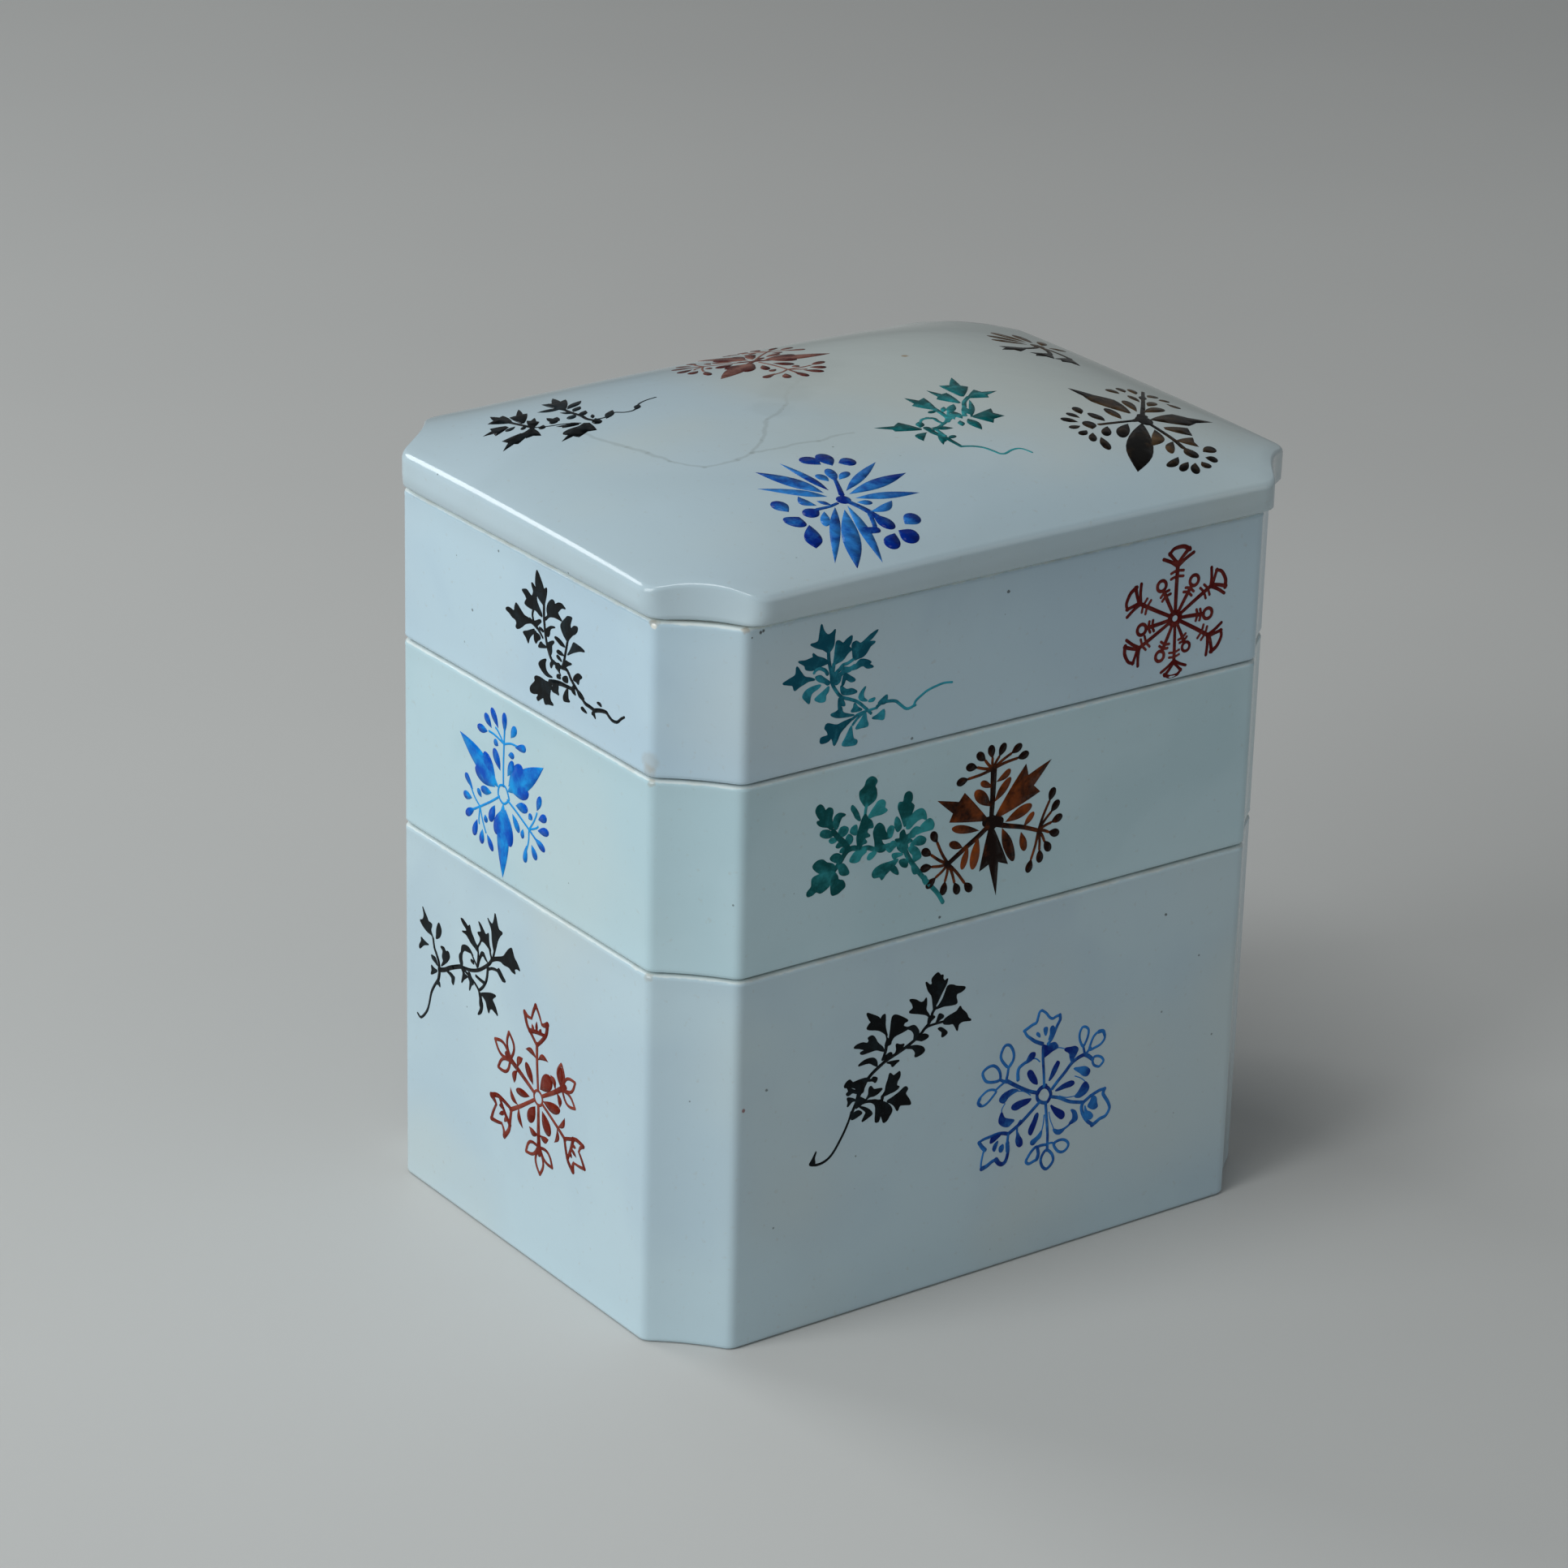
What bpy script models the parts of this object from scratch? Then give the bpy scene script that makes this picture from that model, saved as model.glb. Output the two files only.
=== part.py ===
# A three-tier porcelain food box: three open boxes that stack one on another, under a lid.
# Each corner is cut off by a shallow hollow facet. The tiers nest by stepped bases. On the
# cushion-shaped lid the facets stay upright and cut arches through its rounded shoulder.
# Metres, +Z up, long side along X, origin on the table under the middle of the box.

import math

import bmesh
import bpy
from mathutils import Matrix, Vector

# Plan of the tiers
WIDTH = 0.1260
DEPTH = 0.0952
CORNER_CUT = 0.0105
CORNER_HOLLOW = 0.0006
CORNER_EDGE_ROUND = 0.0012

# Heights, each from where the tier rests up to its rim
LOWER_HEIGHT = 0.0664
MIDDLE_HEIGHT = 0.0333
UPPER_HEIGHT = 0.0264
SEAT_GAP = 0.0003

# Walls
WALL = 0.0042
FLOOR = 0.0044
INSIDE_COVE = 0.0040
RIM_ROUND = 0.0008

# Stepped bases of the middle and upper tiers
STEP_DEPTH = 0.0026
STEP_PLAY = 0.0006
STEP_CHAMFER = 0.0005

# Foot of the lower tier
FOOT_WIDTH = 0.0060
FOOT_RECESS = 0.0012

# Lid, with its heights from the seat
LID_OVERHANG = 0.0021
LID_CORNER_OVERHANG = 0.0013
LID_SIDE = 0.0050
LID_SHOULDER = 0.0018
LID_CROWN = 0.0072
LID_BELLY = 0.0007
LID_SHELL = 0.0045
LID_EDGE_ROUND = 0.0025
SCOOP_HOLLOW = 0.0015
SCOOP_EDGE_ROUND = 0.0010

# How the lid has warped in the kiln: its top stands higher at the right and at the back than
# in the middle, lower at the left and in front, and it drops at all four corners
LEAN_TO_RIGHT = 0.0002
LEAN_TO_BACK = 0.0007
CORNER_DROP = 0.0009

# Flange that keeps the lid on. The loose lid lies to one side of its play.
FLANGE_DEPTH = 0.0028
FLANGE_THICKNESS = 0.0030
FLANGE_CHAMFER = 0.0005
LID_PLAY = 0.0020
LID_SHIFT = LID_PLAY / 2

# Shape of the crown, as a power, and the slope of the shoulder where the crown begins
CROWN_FULLNESS = 3.4
SHOULDER_END = math.radians(66)

# How fast the scoops fade into the crown, and the corners' drop into the rest of the top
SCOOP_FADE = 4
DROP_FADE = 2.5

# Corner cut of the smallest crown rings, as a share of their half depth
CROWN_CUT = 0.45

# Levels up the lid's straight side, as shares of it, and the share where it is widest
SIDE_LEVELS = (0.12, 0.35, 0.6, 1.0)
WIDEST_LEVEL = 0.6

# Fineness of the curves
FACET_STEPS = 6
ROUND_STEPS = 3
LID_SIDE_STEPS = 8
CROWN_STEPS = 11
VAULT_STEPS = 7

# Plain numbers of the geometry: a 45 degree cut gets shorter by this share of an offset
CUT_LOSS = 2 - math.sqrt(2)

LID_HALF_X = WIDTH / 2 + LID_OVERHANG
LID_HALF_Y = DEPTH / 2 + LID_OVERHANG
LID_CORNER_CUT = CORNER_CUT + 2 * LID_OVERHANG - math.sqrt(2) * LID_CORNER_OVERHANG
SHOULDER_TOP = LID_SIDE + LID_SHOULDER * math.sin(SHOULDER_END)
SHOULDER_INSET = LID_SHOULDER * (1 - math.cos(SHOULDER_END))
SCOOP_TURN = SCOOP_EDGE_ROUND * math.sin(SHOULDER_END)
SCOOP_INSET = SCOOP_EDGE_ROUND * (1 - math.cos(SHOULDER_END))


def mix(a, b, share):
    return a + (b - a) * share


def curve_between(start, corner, end, share):
    """A point on the quadratic curve from start to end that the corner draws out."""
    return mix(mix(start, corner, share), mix(corner, end, share), share)


def facet_point(first, last, hollow, share):
    """A point along a facet from its first edge to its last, dished by the hollow."""
    outward = Vector((1, 1)).normalized()
    return mix(first, last, share) - outward * (hollow * 4 * share * (1 - share))


def facet_share(share):
    """1 at the middle of a facet, falling to 0 at its edges."""
    return 1 - (2 * share - 1) ** 4


def box_plan(half_x, half_y, cut, hollow, edge_round, side_steps):
    """The outline of a rectangle with hollow facets for corners, anticlockwise from +X.

    Gives (point, facet share) pairs. The share is 0 on the straight sides.
    """
    outline = []
    facet_length = max(cut * math.sqrt(2), 1e-9)
    margin = min(edge_round / facet_length, 0.3)
    for quarter in range(4):
        reach, run = (half_x, half_y) if quarter % 2 == 0 else (half_y, half_x)
        turn = Matrix.Rotation(quarter * math.pi / 2, 2)
        first = Vector((reach, run - cut))
        last = Vector((reach - cut, run))
        before = first - Vector((0, min(edge_round, (run - cut) / 2)))
        after = last - Vector((min(edge_round, (reach - cut) / 2), 0))
        enters = facet_point(first, last, hollow, margin)
        leaves = facet_point(first, last, hollow, 1 - margin)
        side_start = Vector((before.x, -before.y))
        for step in range(1, side_steps):
            outline.append((turn @ mix(side_start, before, step / side_steps), 0.0))
        for step in range(ROUND_STEPS):
            share = step / ROUND_STEPS
            point = curve_between(before, first, enters, share)
            outline.append((turn @ point, facet_share(margin) * share))
        for step in range(FACET_STEPS + 1):
            share = mix(margin, 1 - margin, step / FACET_STEPS)
            outline.append((turn @ facet_point(first, last, hollow, share), facet_share(share)))
        for step in range(1, ROUND_STEPS + 1):
            share = step / ROUND_STEPS
            point = curve_between(leaves, last, after, share)
            outline.append((turn @ point, facet_share(margin) * (1 - share)))
    return outline


def tier_plan(inset, side_steps=1):
    """The outline of a tier, moved inwards by the inset."""
    cut = CORNER_CUT - CUT_LOSS * inset
    half_x = WIDTH / 2 - inset
    half_y = DEPTH / 2 - inset
    return box_plan(half_x, half_y, cut, CORNER_HOLLOW, CORNER_EDGE_ROUND, side_steps)


def lid_plan(inset, cut, hollow=SCOOP_HOLLOW, edge_round=LID_EDGE_ROUND):
    """The outline of the lid, with its sides moved inwards by the inset from their widest."""
    half_x = LID_HALF_X - inset
    half_y = LID_HALF_Y - inset
    return box_plan(half_x, half_y, cut, hollow, edge_round, LID_SIDE_STEPS)


def scoop_cut(side_inset, scoop_inset):
    """The corner cut that leaves the scoops where they are, but for an inset of their own."""
    return LID_CORNER_CUT - 2 * side_inset + math.sqrt(2) * scoop_inset


def flat_ring(plan, height):
    return [(point.x, point.y, height) for point, share in plan]


def quarter_round(start, end, steps, leaves_level):
    """Profile points (inset, height) on a quarter circle, without the start.

    The curve leaves its start level with the table, or else upright.
    """
    points = []
    for step in range(1, steps + 1):
        angle = step / steps * math.pi / 2
        early, late = math.sin(angle), 1 - math.cos(angle)
        inset_share, height_share = (early, late) if leaves_level else (late, early)
        inset = mix(start[0], end[0], inset_share)
        points.append((inset, mix(start[1], end[1], height_share)))
    return points


def loft(name, rings, capped):
    """One closed solid through rings that have the same number of points.

    Without caps, the first and last rings have closed up into a line of their own.
    """
    mesh = bpy.data.meshes.new(name)
    shape = bmesh.new()
    rows = [[shape.verts.new(point) for point in ring] for ring in rings]
    count = len(rows[0])
    for row, next_row in zip(rows, rows[1:]):
        for i in range(count):
            j = (i + 1) % count
            shape.faces.new((row[i], row[j], next_row[j], next_row[i]))
    if capped:
        shape.faces.new(rows[0])
        shape.faces.new(rows[-1])
    bmesh.ops.remove_doubles(shape, verts=shape.verts, dist=1e-6)
    bmesh.ops.recalc_face_normals(shape, faces=shape.faces)
    shape.to_mesh(mesh)
    shape.free()
    mesh.shade_smooth()
    mesh.set_sharp_from_angle(angle=math.radians(35))
    solid = bpy.data.objects.new(name, mesh)
    bpy.context.scene.collection.objects.link(solid)
    return solid


def glaze(name, colour, roughness):
    material = bpy.data.materials.new(name)
    material.use_nodes = True
    shader = material.node_tree.nodes["Principled BSDF"]
    shader.inputs["Base Color"].default_value = (*colour, 1)
    shader.inputs["Roughness"].default_value = roughness
    shader.inputs["Metallic"].default_value = 0.0
    return material


def foot_profile():
    """Underside of the lower tier, from its recessed panel out to the foot band."""
    return [(FOOT_WIDTH + FOOT_RECESS, FOOT_RECESS), (FOOT_WIDTH, 0)]


def step_profile():
    """Underside of a nesting tier: a step that drops into the mouth below it."""
    side = WALL + STEP_PLAY
    return [
        (side + STEP_CHAMFER, -STEP_DEPTH),
        (side, STEP_CHAMFER - STEP_DEPTH),
        (side, 0),
    ]


def tier(name, rest, height, underside, floor_top, colour):
    """An open box. Its heights count from the level where it rests."""
    rim = min(RIM_ROUND, 0.45 * WALL)
    cove = min(INSIDE_COVE, 0.8 * (height - floor_top))
    profile = list(underside)
    profile.append((rim, 0))
    profile += quarter_round((rim, 0), (0, rim), ROUND_STEPS, True)
    profile.append((0, height - rim))
    profile += quarter_round((0, height - rim), (rim, height), ROUND_STEPS, False)
    profile.append((WALL - rim, height))
    profile += quarter_round((WALL - rim, height), (WALL, height - rim), ROUND_STEPS, True)
    profile.append((WALL, floor_top + cove))
    cove_end = (WALL + cove, floor_top)
    profile += quarter_round((WALL, floor_top + cove), cove_end, ROUND_STEPS + 1, False)
    rings = [flat_ring(tier_plan(inset), level) for inset, level in profile]
    box = loft(name, rings, capped=True)
    box.location.z = rest
    box.data.materials.append(glaze(name + "_glaze", colour, 0.14))


def warp(x, y):
    """How much the fired top stands above a true one."""
    across = x / LID_HALF_X
    along = y / LID_HALF_Y
    lean = LEAN_TO_RIGHT * across + LEAN_TO_BACK * along
    return lean - CORNER_DROP * abs(across * along) ** DROP_FADE


def crown_rise(x, y):
    """How far the cushion top stands above its own edge."""
    across = min(abs(x) / (LID_HALF_X - SHOULDER_INSET), 1)
    along = min(abs(y) / (LID_HALF_Y - SHOULDER_INSET), 1)
    return LID_CROWN * (1 - across ** CROWN_FULLNESS) * (1 - along ** CROWN_FULLNESS)


def crown_height(x, y, base):
    return base + crown_rise(x, y) + warp(x, y)


def crown_ring(plan, base):
    return [(point.x, point.y, crown_height(point.x, point.y, base)) for point, share in plan]


def edge_profile(straight, radius, belly):
    """(inset, height) up an upright side that bellies out, and over the round above it."""
    points = []
    for level in SIDE_LEVELS:
        inset = belly * max(0, 1 - level / WIDEST_LEVEL) ** 2
        points.append((inset, level * straight))
    for step in range(1, ROUND_STEPS + 2):
        angle = SHOULDER_END * step / (ROUND_STEPS + 1)
        points.append((radius * (1 - math.cos(angle)), straight + radius * math.sin(angle)))
    return points


def lid_side_rings():
    """Rings up the outside of the lid.

    The sides turn over a round shoulder. The scoops at the corners stay upright and cut
    through it, up to a tight edge of their own. The facet share blends the two heights.
    """
    side = edge_profile(LID_SIDE, LID_SHOULDER, LID_BELLY)
    scoops = []
    for point, share in lid_plan(SHOULDER_INSET, scoop_cut(SHOULDER_INSET, SCOOP_INSET)):
        scoop_side = crown_height(point.x, point.y, SHOULDER_TOP) - SCOOP_TURN
        scoops.append(edge_profile(scoop_side, SCOOP_EDGE_ROUND, 0))
    rings = []
    for level, (side_inset, side_height) in enumerate(side):
        plan = lid_plan(side_inset, scoop_cut(side_inset, scoops[0][level][0]))
        ring = []
        for (point, share), scoop in zip(plan, scoops):
            height = side_height * (1 + warp(point.x, point.y) / SHOULDER_TOP)
            ring.append((point.x, point.y, mix(height, scoop[level][1], share)))
        rings.append(ring)
    return rings


def closing_rings(start_inset, start_cut, base, hollow, steps):
    """Rings from the start inset that close on a short ridge line along the middle."""
    rings = []
    for step in range(1, steps + 1):
        share = step / steps
        inset = mix(start_inset, LID_HALF_Y, share)
        cut = mix(start_cut, CROWN_CUT * (LID_HALF_Y - inset), share)
        edge_round = mix(LID_EDGE_ROUND, cut / 3, share)
        plan = lid_plan(inset, cut, hollow * (1 - share) ** SCOOP_FADE, edge_round)
        rings.append(crown_ring(plan, base))
    return rings


def lid(name, rest, colour):
    """The lid: a thick domed shell with a flange that drops inside the upper tier."""
    flange_outside = WALL + LID_PLAY
    flange_inside = flange_outside + FLANGE_THICKNESS
    ceiling = SHOULDER_TOP - LID_SHELL
    vault_start = flange_inside + RIM_ROUND + LID_OVERHANG
    vault_cut = LID_CORNER_CUT - CUT_LOSS * vault_start
    vault = closing_rings(vault_start, vault_cut, ceiling, 0, VAULT_STEPS)
    rings = list(reversed(vault))
    rings.append(crown_ring(lid_plan(vault_start, vault_cut, 0), ceiling))
    flange = [
        (flange_inside, ceiling - RIM_ROUND),
        (flange_inside, FLANGE_CHAMFER - FLANGE_DEPTH),
        (flange_inside - FLANGE_CHAMFER, -FLANGE_DEPTH),
        (flange_outside + FLANGE_CHAMFER, -FLANGE_DEPTH),
        (flange_outside, FLANGE_CHAMFER - FLANGE_DEPTH),
        (flange_outside, 0),
    ]
    rings += [flat_ring(tier_plan(inset, LID_SIDE_STEPS), level) for inset, level in flange]
    seat_inset = LID_BELLY + RIM_ROUND
    rings.append(flat_ring(lid_plan(seat_inset, scoop_cut(seat_inset, RIM_ROUND)), 0))
    rings += lid_side_rings()
    crown_cut = scoop_cut(SHOULDER_INSET, SCOOP_INSET)
    rings += closing_rings(SHOULDER_INSET, crown_cut, SHOULDER_TOP, SCOOP_HOLLOW, CROWN_STEPS)
    cover = loft(name, rings, capped=False)
    cover.location = (LID_SHIFT, 0, rest)
    cover.data.materials.append(glaze(name + "_glaze", colour, 0.12))


for item in list(bpy.data.objects):
    bpy.data.objects.remove(item, do_unlink=True)

middle_rest = LOWER_HEIGHT + SEAT_GAP
upper_rest = middle_rest + MIDDLE_HEIGHT + SEAT_GAP
lid_rest = upper_rest + UPPER_HEIGHT + SEAT_GAP
nested_floor = FLOOR - STEP_DEPTH
tier("lower_tier", 0, LOWER_HEIGHT, foot_profile(), FOOT_RECESS + FLOOR, (0.60, 0.68, 0.70))
tier("middle_tier", middle_rest, MIDDLE_HEIGHT, step_profile(), nested_floor, (0.61, 0.69, 0.71))
tier("upper_tier", upper_rest, UPPER_HEIGHT, step_profile(), nested_floor, (0.61, 0.69, 0.71))
lid("lid", lid_rest, (0.63, 0.70, 0.71))
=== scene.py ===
import itertools
import math

import bmesh
import bpy
from mathutils import Matrix, Vector, noise
from mathutils.geometry import convex_hull_2d, delaunay_2d_cdt


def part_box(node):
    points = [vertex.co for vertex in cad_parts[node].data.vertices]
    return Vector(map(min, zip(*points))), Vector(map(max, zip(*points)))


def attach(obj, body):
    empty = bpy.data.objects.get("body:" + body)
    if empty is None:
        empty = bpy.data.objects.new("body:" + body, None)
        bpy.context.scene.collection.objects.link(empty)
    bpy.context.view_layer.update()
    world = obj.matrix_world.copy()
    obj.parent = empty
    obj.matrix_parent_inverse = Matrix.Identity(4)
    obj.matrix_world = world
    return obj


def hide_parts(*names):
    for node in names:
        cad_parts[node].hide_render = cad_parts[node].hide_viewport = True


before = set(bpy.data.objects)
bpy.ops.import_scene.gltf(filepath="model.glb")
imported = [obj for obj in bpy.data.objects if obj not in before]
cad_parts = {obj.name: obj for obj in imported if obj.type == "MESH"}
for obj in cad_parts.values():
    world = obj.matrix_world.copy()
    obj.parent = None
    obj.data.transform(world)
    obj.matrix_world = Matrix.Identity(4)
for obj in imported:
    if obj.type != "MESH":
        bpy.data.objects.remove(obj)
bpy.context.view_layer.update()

# The lower tier: the deep bottom box of the stack, built from slabs as one porcelain shell.
# Its walls and inside are glazed bluish white. The rim and the foot band are bare, because
# pieces that touch are wiped clean of glaze before firing.
MM = 0.001
tier_low, tier_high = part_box("lower_tier")
HALF_WIDTH = tier_high.x
HALF_DEPTH = tier_high.y
CORNER_CUT = 10.5 * MM
CORNER_HOLLOW = 0.6 * MM
CORNER_EDGE_ROUND = 1.2 * MM
LONGEST_EDGE_SHARE = 0.3
CUT_LOSS = 2 - math.sqrt(2)
WALL = 4.2 * MM
FLOOR = 4.4 * MM
INSIDE_COVE = 4.0 * MM
RIM_ROUND = 0.8 * MM
FOOT_WIDTH = 6.0 * MM
FOOT_RECESS = 1.2 * MM
FACET_STEPS = 12
ROUND_STEPS = 6
WALL_STEP = 3.0 * MM
EDGE_SUPPORT = 0.35 * MM
RIPPLE = 0.07 * MM
RIPPLE_LENGTH = 24 * MM
RIPPLE_SWING = 0.4
CLOSING_SHARES = (0.94, 0.7, 0.45, 0.2, 0.04)
MERGE_DISTANCE = 1e-7
BARE, SCUFFED, GLAZED = 1.0, 0.3, 0.0


def mix(a, b, share):
    return a + (b - a) * share


def evenly(length, step):
    """Shares of a run: close to both ends for crisp edges, and about a step apart between."""
    support = EDGE_SUPPORT / length
    count = max(2, round(length / step))
    return [support] + [mix(support, 1 - support, i / count) for i in range(1, count)] + [1 - support]


SIDE_SHARES = evenly(2 * HALF_WIDTH, WALL_STEP)
END_SHARES = evenly(2 * HALF_DEPTH, WALL_STEP)


def curve_between(start, corner, end, share):
    return mix(mix(start, corner, share), mix(corner, end, share), share)


def facet_point(first, last, hollow, share):
    """A point along a facet from its first edge to its last, dished by the hollow."""
    outward = Vector((1, 1)).normalized()
    return mix(first, last, share) - outward * (hollow * 4 * share * (1 - share))


def facet_share(share):
    """1 at the middle of a facet, falling to 0 at its edges."""
    return 1 - (2 * share - 1) ** 4


def box_plan(half_x, half_y, cut, hollow, edge_round):
    """A rectangle with hollow facets for corners, anticlockwise: (point, facet share) pairs."""
    outline = []
    facet_length = max(cut * math.sqrt(2), 1e-9)
    margin = min(edge_round / facet_length, LONGEST_EDGE_SHARE)
    for quarter in range(4):
        upright = quarter % 2 == 0
        reach, run = (half_x, half_y) if upright else (half_y, half_x)
        turn = Matrix.Rotation(quarter * math.pi / 2, 2)
        first = Vector((reach, run - cut))
        last = Vector((reach - cut, run))
        before = first - Vector((0, min(edge_round, (run - cut) / 2)))
        after = last - Vector((min(edge_round, (reach - cut) / 2), 0))
        enters = facet_point(first, last, hollow, margin)
        leaves = facet_point(first, last, hollow, 1 - margin)
        side_start = Vector((before.x, -before.y))
        for share in END_SHARES if upright else SIDE_SHARES:
            outline.append((turn @ mix(side_start, before, share), 0.0))
        for step in range(ROUND_STEPS):
            share = step / ROUND_STEPS
            point = curve_between(before, first, enters, share)
            outline.append((turn @ point, facet_share(margin) * share))
        for step in range(FACET_STEPS + 1):
            share = mix(margin, 1 - margin, step / FACET_STEPS)
            outline.append((turn @ facet_point(first, last, hollow, share), facet_share(share)))
        for step in range(1, ROUND_STEPS + 1):
            share = step / ROUND_STEPS
            point = curve_between(leaves, last, after, share)
            outline.append((turn @ point, facet_share(margin) * (1 - share)))
    return outline


def tier_plan(inset):
    """The outline of a tier, moved inwards by the inset."""
    cut = CORNER_CUT - CUT_LOSS * inset
    return box_plan(HALF_WIDTH - inset, HALF_DEPTH - inset, cut, CORNER_HOLLOW, CORNER_EDGE_ROUND)


def quarter_round(start, end, leaves_level):
    """Profile points on a quarter circle, without the start."""
    points = []
    for step in range(1, ROUND_STEPS + 1):
        angle = step / ROUND_STEPS * math.pi / 2
        early, late = math.sin(angle), 1 - math.cos(angle)
        inset_share, height_share = (early, late) if leaves_level else (late, early)
        points.append((mix(start[0], end[0], inset_share), mix(start[1], end[1], height_share)))
    return points


def run(start, end):
    """Profile points along a straight stretch, without its ends."""
    length = math.dist(start, end)
    return [tuple(mix(Vector(start), Vector(end), share)) for share in evenly(length, WALL_STEP)]


def ring_at(plan, height):
    return [Vector((point.x, point.y, height)) for point, share in plan]


def shrunk(ring):
    """Flat rings that close an end towards its middle."""
    middle = Vector((0, 0, ring[0].z))
    return [[mix(middle, point, share) for point in ring] for share in CLOSING_SHARES]


def glaze_depth(point):
    """How far the glazed surface lies below the true form, because no fired wall is quite even."""
    return RIPPLE * (1 - RIPPLE_SWING + RIPPLE_SWING * noise.noise(point / RIPPLE_LENGTH))


def shell(name, rings, bare, outside, capped=True):
    """One closed smooth shell through rings, with how bare and how far outside each ring is."""
    if capped:
        front, back = shrunk(rings[0])[::-1], shrunk(rings[-1])
        rings = front + rings + back
        bare = [bare[0]] * len(front) + bare + [bare[-1]] * len(back)
        outside = [0] * len(front) + outside + [0] * len(back)
    mesh = bpy.data.meshes.new(name)
    shape = bmesh.new()
    bare_layer = shape.verts.layers.float.new("bare")
    outside_layer = shape.verts.layers.float.new("outside")
    rows = []
    for ring, ring_bare, ring_outside in zip(rings, bare, outside):
        row = [shape.verts.new(point) for point in ring]
        for vertex in row:
            vertex[bare_layer] = ring_bare
            vertex[outside_layer] = ring_outside
        rows.append(row)
    count = len(rows[0])
    for row, next_row in zip(rows, rows[1:]):
        for i in range(count):
            j = (i + 1) % count
            shape.faces.new((row[i], row[j], next_row[j], next_row[i]))
    if capped:
        shape.faces.new(rows[0])
        shape.faces.new(rows[-1])
    bmesh.ops.remove_doubles(shape, verts=shape.verts, dist=MERGE_DISTANCE)
    bmesh.ops.recalc_face_normals(shape, faces=shape.faces)
    shape.normal_update()
    moves = [(v, v.normal * glaze_depth(v.co) * v[outside_layer]) for v in shape.verts]
    for vertex, move in moves:
        vertex.co -= move
    for face in shape.faces:
        face.smooth = True
    shape.to_mesh(mesh)
    shape.free()
    piece = bpy.data.objects.new(name, mesh)
    bpy.context.scene.collection.objects.link(piece)
    return piece


class Shade:
    """A node socket that takes part in Python arithmetic, adding its Math nodes."""

    def __init__(self, nodes, socket):
        self.nodes = nodes
        self.socket = socket

    def math(self, operation, *values):
        return self.nodes.node("ShaderNodeMath", {"operation": operation}, dict(enumerate(values)))

    def __add__(self, other):
        return self.math("ADD", self, other)

    def __radd__(self, other):
        return self.math("ADD", other, self)

    def __sub__(self, other):
        return self.math("SUBTRACT", self, other)

    def __rsub__(self, other):
        return self.math("SUBTRACT", other, self)

    def __mul__(self, other):
        return self.math("MULTIPLY", self, other)

    def __rmul__(self, other):
        return self.math("MULTIPLY", other, self)

    def __abs__(self):
        return self.math("ABSOLUTE", self)

    def ramp(self, low, high):
        """0 below low, 1 above high and smooth between. It falls where low is above high."""
        falls = low > high
        sockets = {"Value": self, "From Min": min(low, high), "From Max": max(low, high)}
        rise = self.nodes.node("ShaderNodeMapRange", {"interpolation_type": "SMOOTHSTEP"}, sockets)
        return 1 - rise if falls else rise

    def beside(self, name):
        """Another output of the same node."""
        return Shade(self.nodes, self.nodes.pick(self.socket.node.outputs, name))


class Nodes:
    """A node tree in the making."""

    def __init__(self, tree):
        self.tree = tree

    def node(self, kind, settings=None, sockets=None, output=0):
        """Adds a node: its settings first, then the values or links of its sockets.

        It gives the node's first output in use, or the one that is asked for."""
        node = self.tree.nodes.new(kind)
        for name, value in (settings or {}).items():
            setattr(node, name, value)
        for name, value in (sockets or {}).items():
            self.fill(self.pick(node.inputs, name), value)
        if node.outputs:
            return Shade(self, self.pick(node.outputs, output))

    def pick(self, sockets, name):
        """The socket of that name or number among those in use."""
        if isinstance(name, int):
            return [socket for socket in sockets if socket.enabled][name]
        return next(socket for socket in sockets if socket.name == name and socket.enabled)

    def fill(self, socket, value):
        if isinstance(value, Shade):
            self.tree.links.new(value.socket, socket)
        else:
            socket.default_value = value

    def vector(self, operation, *values):
        return self.node("ShaderNodeVectorMath", {"operation": operation}, dict(enumerate(values)))


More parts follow.
